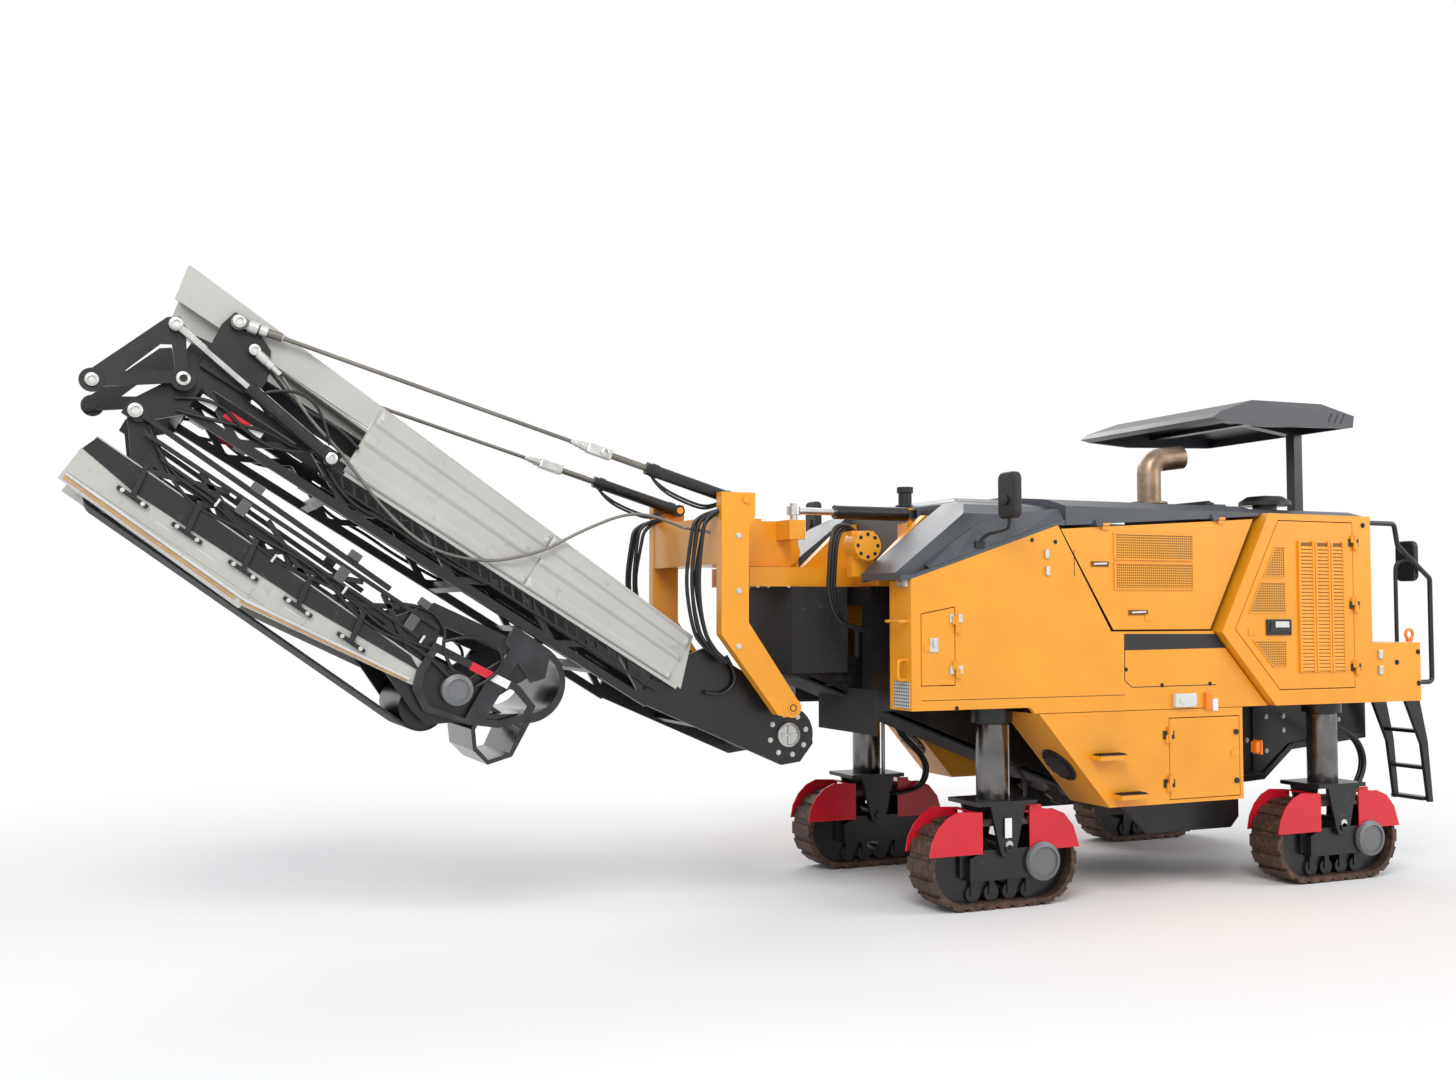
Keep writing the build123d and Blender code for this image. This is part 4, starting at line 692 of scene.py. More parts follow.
seams = strip_line([(0.803, 1.581), (0.799, 1.391), (0.856, 1.347), (1.54, 1.350)], 0.005)
seams += strip_line([(0.42, 2.045), (0.42, 2.212)], 0.004)
seams += strip_line([(-0.69, 1.30), (0.80, 1.30)], 0.003)
fit_both(seams, "panel_seams", "machine", satin_black)
stripe_outline = [(0.800, 1.685), (1.545, 1.680), (1.632, 1.589), (0.798, 1.581)]
stripe = plate([on_side(x, z) for x, z in stripe_outline], OUT * 0.002, 0.0005)
fit_both(stripe, "side_stripe", "machine", satin_black)
print("seams and stripe on")

# %% [markdown]
# The flush handles of the engine doors are shaded cups with a bright tongue: the cup is a block whose
# outer face is inset and pushed in. Latches, hinge plates and boxes are small blocks that stand on
# the sheet, written as rows of place, stand and size, since only the numbers differ.

# %% Handles, latches and small boxes
def cup(x, z, length):
    return recess(block(on_side(x, z, 0.003), (length, 0.006, 0.034), 0.0025), OUT, 0.005, OUT * -0.004)


def tongue(x, z, length):
    return bar(on_side(x - length * 0.35, z, 0.008), on_side(x + length * 0.38, z + 0.004, 0.008),
               0.006, 0.012, 0.0015)


door_handles = ((0.615, 2.125, 0.14), (0.912, 1.820, 0.155))
cups, tongues = [cup(*handle) for handle in door_handles], [tongue(*handle) for handle in door_handles]
fit_both(cups, "engine_door_handles", "engine_door", louvre_shade)
fit_both(tongues, "engine_door_levers", "engine_door", zinc)


def side_blocks(rows, face=PANEL_FACE):
    """Blocks on a side face from rows of x, z, stand, size and edge."""
    return [block(on_side(x, z, stand, face), size, edge) for x, z, stand, size, edge in rows]


latch = side_blocks([(2.026, 1.722, 0.006, (0.215, 0.012, 0.105), 0.004),
                     (2.026, 1.700, 0.014, (0.175, 0.006, 0.020), 0.003),
                     (1.960, 1.735, 0.014, (0.030, 0.008, 0.050), 0.003)], CABINET_FACE)
fit_both(latch, "louvre_door_latch", "louvre_door", satin_black)
window = side_blocks([(2.05, 1.740, 0.013, (0.120, 0.004, 0.040), 0.002)], CABINET_FACE)
fit_both(window, "louvre_latch_window", "louvre_door", zinc)
nose_latch = side_blocks([(-0.607, 1.627, 0.004, (0.060, 0.008, 0.085), 0.003),
                          (-0.607, 1.640, 0.012, (0.018, 0.010, 0.050), 0.003)])
fit(nose_latch, "nose_door_latch", "left_nose_door", zinc)
box_latches = [disc(on_side(1.700, z, 0.006), OUT, 0.018, 0.012) for z in (1.039, 0.723)]
fit_both(box_latches, "lower_door_latches", "lower_door", satin_black)
junction = side_blocks([(1.268, 1.256, 0.016, (0.174, 0.032, 0.088), 0.006)])
junction.append(disc(on_side(1.235, 1.256, 0.034), OUT, 0.022, 0.008))
fit(junction, "junction_box", "machine", pale_paint)
lamp_bracket = side_blocks([(1.465, 1.247, 0.012, (0.052, 0.024, 0.112), 0.006)])
fit(lamp_bracket, "lamp_bracket", "machine", orange)
tag = side_blocks([(1.530, 1.220, 0.003, (0.044, 0.006, 0.078), 0.002)])
fit(tag, "blank_tag", "machine", white_tape)
panel_eyes = ((1.097, 1.355), (1.490, 1.357), (0.811, 1.460), (0.105, 2.266), (0.279, 2.258),
              (-0.45, 1.25))
fit_both(bolts([on_side(*eye) for eye in panel_eyes], 0.009), "panel_bolts", "machine", satin_black)
cabinet_eyes = ((3.306, 1.545), (3.308, 1.327), (2.807, 2.418), (3.102, 1.475))
cabinet_bolts = bolts([on_side(*eye, 0, CABINET_FACE) for eye in cabinet_eyes], 0.012)
fit_both(cabinet_bolts, "cabinet_bolts", "machine", satin_black)
hinge = side_blocks([(2.94, z, 0.008, (0.036, 0.016, 0.060), 0.004) for z in (1.532, 1.424)],
                    CABINET_FACE)
hatch_hinges = ((0.209, 2.181), (0.214, 2.076))
hinge += side_blocks([(x, z, 0.008, (0.030, 0.014, 0.055), 0.004) for x, z in hatch_hinges])
fit_both(hinge, "hatch_hinges", "machine", zinc)
print("handles, latches and boxes on")

# %% [markdown]
# The lower boxes carry a round bolted cover on their sloping fronts, ridged treads on their steps and
# orange marker lamps behind. The cover is a disc turned square to the slope, with its rim inset and
# raised, because a disc laid flat and rotated afterwards would need its bolts rotated as well. The
# lifting eye is the one true ring, so it starts from a torus.

# %% Lower box covers and lamps
slope = Vector((-0.751, 0, -0.660))
rim_axis = Vector((0.660, 0, -0.751))
centre = Vector((at(0.4417), -0.90, 0.86))
cover_bolts = bolts(ring(centre + slope * 0.012, 0.112, 12, rim_axis, -OUT), 0.008, slope)
cover = disc(centre + slope * 0.006, slope, 0.130, 0.012, sides=40)
recess(cover, slope, 0.035, slope * 0.006, nearer=0.95)
fit_both([cover, cover_bolts], "box_cover", "machine", black)
lamp = [block((at(1.963), -1.0, 0.919), (0.035, 0.060, 0.075), 0.010),
        block((at(1.985), -1.0, 0.919), (0.012, 0.080, 0.095))]
fit_both(lamp, "marker_lamp", "machine", orange)
grips = []
for x, z in ((0.640, 0.933), (0.800, 0.683)):
    ridges = [(x + 0.028 * step, z + 0.009, 0.049, (0.008, 0.076, 0.006), 0.002) for step in range(-3, 4)]
    grips += side_blocks([(x, z + 0.003, 0.049, (0.200, 0.084, 0.006), 0.002)] + ridges)
fit_both(grips, "step_grips", "machine", satin_black)
select_only()
bpy.ops.mesh.primitive_torus_add(major_radius=0.034, minor_radius=0.010, major_segments=24,
                                 minor_segments=8, location=(at(3.295), -1.10, 1.668),
                                 rotation=(pi / 2, 0, 0))
eye = [settle(bpy.context.object), block((at(3.295), -1.10, 1.628), (0.050, 0.022, 0.030), 0.004)]
fit_both(eye, "lifting_eye", "machine", orange)
print("box covers, lamps and lifting eyes on")

# %% [markdown]
# ## The nose
# The front face carries a perforated step guard, grab handles and corner lamps; behind it stands the
# filler neck with its cap. The handles are round bars bent at both ends. A curve through six points
# gives that bend at once, where a cylinder would have to be cut and spun at each corner.

# %% Nose fittings
nose = at(-0.76)
guard_outline = ((-1.08, 1.255), (-0.90, 1.255), (-0.90, 1.410), (-1.08, 1.410))
guard = plate([(nose, y, z) for y, z in guard_outline], ALONG * -0.005)
fit_both(guard, "step_guard", "machine", mesh_silver)


def grab(start, end, reach):
    """A round handle bent away from a face, as a smooth curve between two feet."""
    return [start, start + reach * 0.8, start + (end - start) * 0.15 + reach,
            start + (end - start) * 0.85 + reach, end + reach * 0.8, end]


for side, word in ((-1, "left"), (1, "right")):
    rail, post = [grab(Vector((nose, side * y0, z0)), Vector((nose, side * y1, z1)), ALONG * -0.05)
                  for y0, z0, y1, z1 in ((0.87, 1.768, 1.06, 1.768), (1.03, 1.42, 1.03, 1.54))]
    hoses(f"{word}_nose_handles", "machine", 0.010, [rail, post], yellow)
lamp = [block((nose - 0.012, -1.02, 2.0), (0.024, 0.110, 0.060), 0.006),
        block((nose - 0.026, -1.02, 2.0), (0.008, 0.090, 0.044))]
fit_both(lamp, "corner_lamp", "machine", zinc)
neck = [disc((at(-0.17), -0.05, z), UP, radius, height)
        for z, radius, height in ((2.565, 0.045, 0.130), (2.645, 0.055, 0.040), (2.536, 0.065, 0.014))]
fit(neck, "filler_neck", "machine", satin_black)
print("nose fitted")

# %% [markdown]
# ## The lower conveyor's covers
# The pale covers are pressed sheets, stiffened by creases that run with the belt and converge
# towards the machine. Each half is a grid whose rows follow the creases, thickened afterwards; the
# gap between the halves is the real seam. A bump pattern could hint at the creases, but they are deep
# enough to throw shadows of their own.

# %% Creased covers
COVER_FACE = 0.440
COVER_EDGES = ((0.775, -0.120, 0.160), (3.105, -0.120, 0.286))  # along, bottom and top at both ends
CREASES = ((0.0, 0.002), (0.03, 0.016), (0.13, 0.016), (0.21, 0.003), (0.43, 0.003), (0.49, 0.018),
           (0.53, 0.018), (0.61, 0.003), (0.73, 0.003), (0.78, 0.016), (0.96, 0.016), (1.0, 0.002))
CREASE_ENDS = (0.35, 1, 1, 1, 0.35)  # the creases flatten towards both ends of a sheet


def cover_point(along, share, stand):
    """A point of the cover at a share of its height, standing out from its face."""
    (s0, low0, high0), (s1, low1, high1) = COVER_EDGES
    t = (along - s0) / (s1 - s0)
    low, high = low0 + (low1 - low0) * t, high0 + (high1 - high0) * t
    return on_lower(along, low + (high - low) * share, -COVER_FACE - stand)


halves = []
for s0, s1 in ((0.868, 1.912), (1.922, 3.100)):
    stations = [s0, s0 + 0.02, (s0 + s1) / 2, s1 - 0.02, s1]
    rows = [[cover_point(s, share, 0.001 + stand * flat) for s, flat in zip(stations, CREASE_ENDS)]
            for share, stand in CREASES]
    halves.append(folded_sheet(rows, 0.003))
fit_pair(halves, "cover_sheets", LOWER, cover_grey)
cover_bolts = [cover_point(s, share, 0.016) for s in (1.890, 1.945, 3.080, 0.895)
               for share in (0.08, 0.87)]
fit_pair(bolts(cover_bolts, 0.009), "cover_bolts", LOWER, zinc)
lip = bar(on_lower(0.80, -0.135, -0.447), on_lower(3.09, -0.135, -0.447), 0.012, 0.020)
fit_pair(lip, "cover_lips", LOWER, cover_grey)
print("cover halves", len(halves))

# %% [markdown]
# Under the covers runs a ladder of black bars that keeps hands off the returning belt, and the
# frame's end carries strips of reflecting tape. The rungs lean, so each is a bar between two points
# of the belt's own coordinates. An Array modifier could repeat them, but its step would have to be
# turned to the slope first.

# %% Belt guard and reflectors
GUARD_Y = -0.432
rung_starts = [0.95 + 0.075 * i for i in range(30)]
guard = [bar(on_lower(s, -0.205, GUARD_Y), on_lower(s + 0.045, -0.150, GUARD_Y), 0.010, 0.014, 0.002)
         for s in rung_starts]
guard += [bar(on_lower(0.90, up, GUARD_Y), on_lower(3.20, up, GUARD_Y), 0.012, 0.014)
          for up in (-0.212, -0.148)]
fit_pair(guard, "belt_guard", LOWER, satin_black)


def reflectors(name, body, place, runs):
    """Strips of tape, each from one place to another in its own colour."""
    for number, (start, end, tape) in enumerate(runs):
        strip = bar(place(*start), place(*end), 0.004, 0.048, 0.0015)
        fit_pair(strip, f"{name}_{number + 1}", body, tape)


tapes = ((3.820, 3.917, white_tape), (3.630, 3.771, red_tape), (3.552, 3.630, white_tape))
reflectors("lower_reflector", LOWER, on_lower,
           [((s0, -0.205, -0.428), (s1, -0.205, -0.428), tape) for s0, s1, tape in tapes])
print("guard rungs", len(rung_starts))

# %% [markdown]
# The tail of the conveyor hangs low between the front crawlers. Its drum ends in a bright hub with a
# cross of ribs, and a bearing plate is bolted round it. The hub is a disc whose face is inset and
# sunk, and two thin blocks make the cross; cutting the cross out of a solid hub takes more steps.

# %% Tail hub
hub = recess(disc(on_lower(0, 0, -0.432), OUT, 0.075, 0.020, sides=32), OUT, 0.012, OUT * -0.010)
cross = [block(on_lower(0, 0, -0.438), (0.118, 0.010, 0.014), turn=turn)
         for turn in (LEVEL, turned(UP, -ALONG))]
fit_pair([hub] + cross, "tail_hubs", LOWER, zinc)
tail_cheek = disc(on_lower(0, 0, -0.4185), OUT, 0.172, 0.006, sides=48, edge=0.001)
fit_pair(tail_cheek, "tail_cheeks", LOWER, black)
tail_bolts = bolts(ring(on_lower(0, 0, -0.4225), 0.125, 8, lower_along, lower_up), 0.011)
fit_pair(tail_bolts, "tail_bolts", LOWER, zinc)
print("tail hub at", tuple(round(v, 3) for v in tail_drum))

# %% [markdown]
# ## Fold gear
# Big pins with turned heads join the fold plates, cylinders and ropes. Each head is a disc with its
# face inset, and dark lobes round the largest ones stand for the bosses of the castings. They are
# laid on the CAD plates, so the plates' own shape stays as it is.

# %% Pin heads
PLATE_PINS = ((4.037, -0.180, 0.492, 0.036), (4.218, 0.033, 0.538, 0.032), (4.388, -0.438, 0.505, 0.034))
FRAME_PINS = ((4.140, -0.444, 0.428, 0.038), (3.196, -0.118, 0.540, 0.032), (3.974, 0.232, 0.514, 0.034))
plate_heads = [pin_head(on_lower(s, n, -y), radius, 0.014) for s, n, y, radius in PLATE_PINS]
fit_pair(plate_heads, "fold_plate_pins", "fold_arms", zinc)
lobes = [disc(on_lower(s, n, 0.007 - y), OUT, radius + 0.028, 0.012, sides=32)
         for s, n, y, radius in (PLATE_PINS[0], PLATE_PINS[2])]
fit_pair(lobes, "fold_plate_lobes", "fold_arms", black)
frame_heads = [pin_head(on_lower(s, n, -y), radius, 0.012) for s, n, y, radius in FRAME_PINS]
fit_pair(frame_heads, "conveyor_pins", LOWER, zinc)
print("pin heads", len(PLATE_PINS) + len(FRAME_PINS))

# %% [markdown]
# The stays run from the slewing frame to the conveyor's end. A dark gland sits at each end of the
# cylinder, and each rope ends in a socket of stepped rings. All of them are turned parts, so discs
# along the line between the two pins are enough; `on_stay` gives the places on it.

# %% Glands and sockets
STAY_Y = 0.486
foot = Vector(pins["stay_swing"])
anchor = on_lower(3.974, 0.232)
rope_end = (anchor - foot).length
stay_along = (anchor - foot).normalized()
stay_up = OUT.cross(stay_along)


def on_stay(distance, y=-STAY_Y, up=0.0):
    return foot + stay_along * distance + stay_up * up + Vector((0, y, 0))


def stay_rings(rows, sides):
    """Rings round the stay from rows of distance, radius and length."""
    return [disc(on_stay(place), stay_along, radius, length, sides) for place, radius, length in rows]


glands = stay_rings(((0.060, 0.041, 0.045), (0.565, 0.042, 0.040)), 28)
fit_pair(glands, "stay_glands", "stay_barrels", satin_black)
sockets = stay_rings([(rope_end - back, radius, length) for back, radius, length in
                      ((0.075, 0.034, 0.050), (0.130, 0.029, 0.040), (0.225, 0.021, 0.020))], 20)
fit_pair(sockets, "rope_sockets", "stay_rams", zinc)
print("stay length", round(rope_end, 3))

# %% [markdown]
# The hydraulic lines of the fold gear hang in loose loops along the frame, at the cylinders and on
# the folded section. NURBS curves with few control points give them the even sag of a real hose; a
# cloth simulation would take far longer and look no different on hoses this short.

# %% Fold gear lines
FRAME_LINES = (
    ((3.25, -0.10, -0.47), (3.40, -0.22, -0.46), (3.62, -0.24, -0.45), (3.86, -0.16, -0.45),
     (4.02, -0.28, -0.44)),
    ((3.22, -0.09, -0.46), (3.34, -0.17, -0.45), (3.55, -0.16, -0.44), (3.78, -0.27, -0.44),
     (3.98, -0.33, -0.43)),
    ((3.18, -0.16, -0.45), (3.02, -0.26, -0.45), (2.75, -0.23, -0.44), (2.45, -0.25, -0.44),
     (2.10, -0.22, -0.44)),
    ((3.10, 0.02, -0.46), (3.26, 0.06, -0.49), (3.48, 0.02, -0.47), (3.66, 0.10, -0.46),
     (3.84, 0.15, -0.46)),
)
BARREL_LINES = (
    ((3.24, -0.06, -0.525), (3.36, 0.07, -0.53), (3.52, 0.10, -0.53), (3.66, 0.00, -0.53),
     (3.70, -0.06, -0.525)),
)
FOLD_LINES = (
    ((0.10, 0.02, -0.40), (0.28, 0.17, -0.44), (0.60, 0.16, -0.45), (1.00, 0.26, -0.45),
     (1.40, 0.17, -0.45), (1.80, 0.24, -0.45), (2.10, 0.12, -0.46)),
    ((0.16, 0.06, -0.41), (0.40, 0.26, -0.45), (0.80, 0.20, -0.45), (1.20, 0.14, -0.45),
     (1.60, 0.27, -0.45), (1.95, 0.18, -0.46), (2.22, 0.26, -0.47)),
    ((1.62, 0.10, -0.43), (1.80, -0.02, -0.45), (1.98, 0.02, -0.46), (2.02, 0.14, -0.47),
     (2.14, 0.20, -0.47)),
    ((2.00, 0.10, -0.47), (2.10, -0.02, -0.48), (2.30, -0.06, -0.48), (2.38, 0.06, -0.48),
     (2.30, 0.20, -0.47)),
)
for name, body, radius, place, lines in (
        ("conveyor_lines", LOWER, 0.010, on_lower, FRAME_LINES),
        ("fold_cylinder_lines", "fold_barrels", 0.009, on_lower, BARREL_LINES),
        ("folded_section_lines", UPPER, 0.010, on_upper, FOLD_LINES)):
    hoses(name, body, radius, [[place(*point) for point in line] for line in lines], both=True)
print("fold gear lines", len(FRAME_LINES) + len(BARREL_LINES) + len(FOLD_LINES))

# %% [markdown]
# ## The folded section
# The boards of the folded section carry a rubber liner along the belt and black clamps that hold it.
# A tan skid of bare ply runs under the flange. The liner is a plate cut to its outline; clamps and
# skids are flat bars, listed by where they start and end along the belt.

# %% Liner, clamps and skid
def upper_bars(rows, y):
    """Bars along the folded section from rows of start, end, width, height and edge."""
    return [bar(on_upper(*start, y), on_upper(*end, y), *sizes) for start, end, *sizes in rows]


LINER_OUTLINE = ((-0.060, 0.225), (1.90, 0.258), (1.99, 0.300), (1.30, 0.345), (0.25, 0.352),
                 (-0.085, 0.310))
liner = plate([on_upper(*corner, -0.446) for corner in LINER_OUTLINE], OUT * 0.008, 0.002)
fit_pair(liner, "board_liners", UPPER, rubber)
clamps, clamp_bolts = [], []
for along in (0.21, 0.53, 0.87, 1.21, 1.55):
    clamps += upper_bars([((along, 0.20), (along + 0.04, 0.385), 0.016, 0.030, 0.004)], -0.462)
    clamps += upper_bars([((along - 0.05, 0.375), (along + 0.13, 0.378), 0.020, 0.022, 0.004)], -0.458)
    clamp_bolts += [on_upper(along - 0.02, 0.376, -0.468), on_upper(along + 0.10, 0.378, -0.468)]
fit_pair(clamps, "liner_clamps", UPPER, satin_black)
fit_pair(bolts(clamp_bolts, 0.008), "clamp_bolts", UPPER, zinc)
tan = finish("bare_ply", (0.44, 0.27, 0.12), 0.18, 0.75, 0.12, scale=9, grain=90)
skid = upper_bars([((-0.07, 0.480), (0.96, 0.519), 0.003, 0.018, 0.001),
                   ((0.99, 0.517), (1.96, 0.382), 0.003, 0.014, 0.001)], -0.4475)
fit_pair(skid, "board_skids", UPPER, tan)
creases = upper_bars([((-0.07, 0.447), (1.10, 0.462), 0.004, 0.010, 0.0015),
                      ((1.005, 0.35), (1.012, 0.50), 0.004, 0.008, 0.0015)], -0.448)
fit_pair(creases, "board_creases", UPPER, cover_grey)
print("clamps", len(clamps) // 2)

# %% [markdown]
# At the end of the folded section a motor turns the discharge drum, behind a guard with reflectors.
# The motor's cover is a stepped disc: its face is inset and drawn out, which keeps the step round and
# in one piece with the flange.

# %% Discharge motor and guard reflectors
MOTOR = (2.222, 0.274)
motor = recess(disc(on_upper(*MOTOR, -0.452), OUT, 0.088, 0.050, sides=32), OUT, 0.026, OUT * 0.012)
fit_pair(motor, "discharge_motors", UPPER, cast_grey)
motor_bolts = bolts(ring(on_upper(*MOTOR, -0.477), 0.072, 6, upper_along, upper_out), 0.007)
fit_pair(motor_bolts, "discharge_motor_bolts", UPPER, zinc)


def on_guard(along):
    """A point of the guard's lower edge, which slopes against the belt."""
    return along, 0.122 - (along - 2.191) * 0.115, -0.4665


reflectors("guard_reflector", UPPER, on_upper, [
    (on_guard(2.210), on_guard(2.345), red_tape), (on_guard(2.345), on_guard(2.455), white_tape)])
print("discharge end fitted")

# %% [markdown]
# ## Mast, slewing arms and their hoses
# The mast has a bolted disc on each side and bolts along its lower edge, and the slewing arms end in
# round lobes with a pin. The disc's bolts are set out on a circle, as a fitter would drill them, so
# their number can change without placing each again.

# %% Mast bolts
mast_ring = bolts(ring(Vector((at(-0.79), -0.640, 2.235)), 0.070, 8), 0.008)
fit_pair(mast_ring, "mast_disc_bolts", "machine", satin_black)
edge_bolts = bolts([(at(x), -0.302, 1.984) for x in (-1.386, -1.313, -1.169, -1.073)], 0.010, -UP)
fit_pair(edge_bolts, "mast_edge_bolts", "machine", zinc)
arm_bolts = bolts([(at(-1.655), -0.610, z) for z in (1.62, 1.95, 2.28)], 0.012)
fit_pair(arm_bolts, "arm_bolts", "slewing", zinc)
arm_lobes = [pin_head(foot + OUT * 0.530, 0.036, 0.010),
             disc(luff + OUT * 0.610, OUT, 0.060, 0.008, sides=36)]
fit_pair(arm_lobes, "arm_lobes", "slewing", yellow)
fit_pair(pin_head(luff + OUT * 0.614, 0.030, 0.008), "arm_pins", "slewing", black)
print("mast bolts on")

# %% [markdown]
# Bundles of hoses hang beside the mast and down the slewing arms. A route is written once and shifted
# for each neighbour, as the real ones are clipped together. No hose can bend with the slewing joint,
# so each bundle rides with the body that holds its middle.

# %% Mast and arm hoses
MAST_HOSE = ((-0.86, -0.53, 2.36), (-0.97, -0.56, 2.38), (-1.02, -0.58, 2.26), (-1.03, -0.58, 2.10),
             (-1.035, -0.57, 1.94), (-0.97, -0.55, 1.78), (-0.84, -0.53, 1.735), (-0.655, -0.50, 1.69))
mast_hoses = [[(at(x + 0.030 * i), y + 0.020 * i, z - 0.012 * i) for x, y, z in MAST_HOSE]
              for i in range(3)]
hoses("mast_hoses", "machine", 0.013, mast_hoses)
ARM_HOSES = ((-1.875, -0.565), (-1.905, -0.545), (-1.860, -0.520), (-1.895, -0.505), (-1.93, -0.525))
arm_hoses = []
for number, (x, y) in enumerate(ARM_HOSES):
    swing = 0.012 * (number % 3)
    route = ((-1.70, 0, 2.44), (x + 0.03, 0, 2.42 - swing), (x, 0, 2.25), (x - 0.02 - swing, 0, 2.02),
             (x, 0.01, 1.80), (x + 0.06, 0.02, 1.62), (-1.70, 0.03, 1.52 + swing))
    arm_hoses.append([(at(along), y + inward, z) for along, inward, z in route])
hoses("arm_hoses", "slewing", 0.012, arm_hoses, both=True)
stay_lines = [[on_stay(0.10, -0.470 - lift / 4, lift * 0.7), on_stay(0.16, -0.47, lift + 0.05),
               on_stay(0.32, -0.48, lift + 0.055), on_stay(0.50, -0.48, lift + 0.03),
               on_stay(0.57, -0.486, 0.04)] for lift in (0.048, 0.066)]
hoses("stay_lines", "stay_barrels", 0.008, stay_lines, both=True)
print("mast and arm hoses hung")

# %% [markdown]
# A short hose loops over the outside of the tail plate, near the luffing pin. It lies flat against the
# plate, so its five points share one Y. Part of a torus would be as quick, but the loop isn't round.

# %% Tail loop
TAIL_LOOP = ((-1.806, 1.342), (-1.713, 1.318), (-1.620, 1.366), (-1.596, 1.451), (-1.667, 1.559))
hoses("tail_loop", LOWER, 0.012, [[(at(x), -0.447, z) for x, z in TAIL_LOOP]], both=True)
print("tail loop hung")

# %% [markdown]
# A slack safety rope runs from the fold gear to the slewing frame. The conveyor lifts and the frame
# doesn't, so the rope is turned into a mesh and left on neither body. Left on one body, it would tear
# off at the other.

# %% Safety rope
ROPE_ROUTE = ((3.638, 0.114), (3.419, 0.004), (3.174, -0.050), (2.968, -0.134), (2.792, -0.192),
              (2.589, -0.232), (2.413, -0.220), (2.194, -0.135), (2.055, -0.025), (1.918, 0.123),
              (1.833, 0.274), (1.729, 0.429), (1.636, 0.547), (1.519, 0.630), (1.355, 0.673),
              (1.271, 0.692))
rope_points = [on_lower(along, up, -0.490) for along, up in ROPE_ROUTE]
rope_points += [Vector((at(-1.985), -0.50, 2.330)), Vector((at(-1.80), -0.52, 2.300))]
rope = as_mesh(hoses("safety_rope", None, 0.009, [rope_points], rope_steel))
rope.name = "safety_rope"
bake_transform(rope)
print("rope vertices", len(rope.data.vertices))

# %% [markdown]
# ## Crawlers
# Each crawler hangs on a polished column, shown by a bright sleeve round the black one of the frame.
# Hubs with bolted faces close the drive ends, and pins with round heads hold the forks. The four are
# alike, so one loop fits them from their axles' places instead of copying a finished crawler.

# %% Columns, hubs and fork pins
column_steel = finish("column_steel", (0.16, 0.155, 0.15), 0.25, 0.22, metallic=0.9, scale=8,
                      dirt=(0.06, 0.05, 0.04), amount=0.25)
COLUMN_RADIUS, COLUMN_TOP = 0.098, 1.125
HUB_X, HUB_Z, FORK_Z = 0.27, 0.275, 0.395
CRAWLER_FACE = 0.145  # outer face of a crawler's frame, from its column's axis
crawlers = [(f"{end}_{word}", x, side, gauge)
            for end, x, gauge in (("front", FRONT_AXLE, 0.80), ("rear", REAR_AXLE, 0.96))
            for word, side in (("left", -1), ("right", 1))]
for crawler, x, side, gauge in crawlers:
    body = crawler + "_crawler"
    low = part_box(crawler + "_fenders")[1][2] + 0.035
    middle = Vector((x, side * gauge, (low + COLUMN_TOP) / 2))
    sleeve = disc(middle, UP, COLUMN_RADIUS + 0.002, COLUMN_TOP - low, sides=48)
    pick_faces(sleeve, UP)
    bpy.ops.mesh.inset(thickness=0.004)
    bpy.ops.object.mode_set(mode="OBJECT")
    bpy.ops.object.shade_smooth_by_angle(angle=radians(30))
    fit(sleeve, crawler + "_column", body, column_steel)
    face, outwards = side * (gauge + CRAWLER_FACE), Vector((0, side, 0))
    hub = disc((x + HUB_X, face - side * 0.010, HUB_Z), outwards, 0.120, 0.030, sides=32)
    fit(recess(hub, outwards, 0.030, outwards * 0.016), crawler + "_hub", body, cast_grey)
    hub_ring = ring(Vector((x + HUB_X, face + side * 0.005, HUB_Z)), 0.104, 10)
    fit(bolts(hub_ring, 0.007, outwards), crawler + "_hub_bolts", body, zinc)
    boss = disc((x, face + side * 0.014, FORK_Z), outwards, 0.058, 0.030, sides=32, edge=0.004)
    fit(boss, crawler + "_fork_boss", body, black)
    fit(disc((x, face + side * 0.033, FORK_Z), outwards, 0.026, 0.012), crawler + "_fork_pin", body, zinc)
print("crawlers fitted")

# %% [markdown]
# ## The cage of the folded section
# Between its big plates the folded section is a cage of thin bars, valve blocks and clips. They are
# short lengths of flat bar, placed along the belt from a list. A Wireframe modifier on a coarse box
# would be quicker, but the real bars cross at uneven places.

# %% Cage of the folded section
CAGE_FACE = 0.438
DIAGONALS = (((0.20, 0.235), (0.62, 0.075)), ((0.44, 0.075), (0.86, 0.235)),
             ((0.86, 0.085), (1.24, 0.245)), ((1.10, 0.230), (1.46, 0.070)),
             ((1.42, 0.240), (1.70, 0.070)), ((1.58, 0.060), (1.90, 0.250)))
LONG_BARS = (((0.10, 0.070), (1.95, 0.050), 0.014, 0.024), ((0.24, 0.135), (1.88, 0.150), 0.014, 0.018),
             ((0.05, 0.000), (1.60, 0.020), 0.014, 0.030))
cage = upper_bars([(start, end, 0.012, 0.030) for start, end in DIAGONALS], -CAGE_FACE)
cage += upper_bars(LONG_BARS, -CAGE_FACE - 0.010)
fit_pair(cage, "folded_cage", UPPER, black)


def upper_blocks(rows, y, edge):
    """Blocks square to the folded section from rows of place and size."""
    return [block(on_upper(*place, y), size, edge, UPPER_TURN) for place, size in rows]


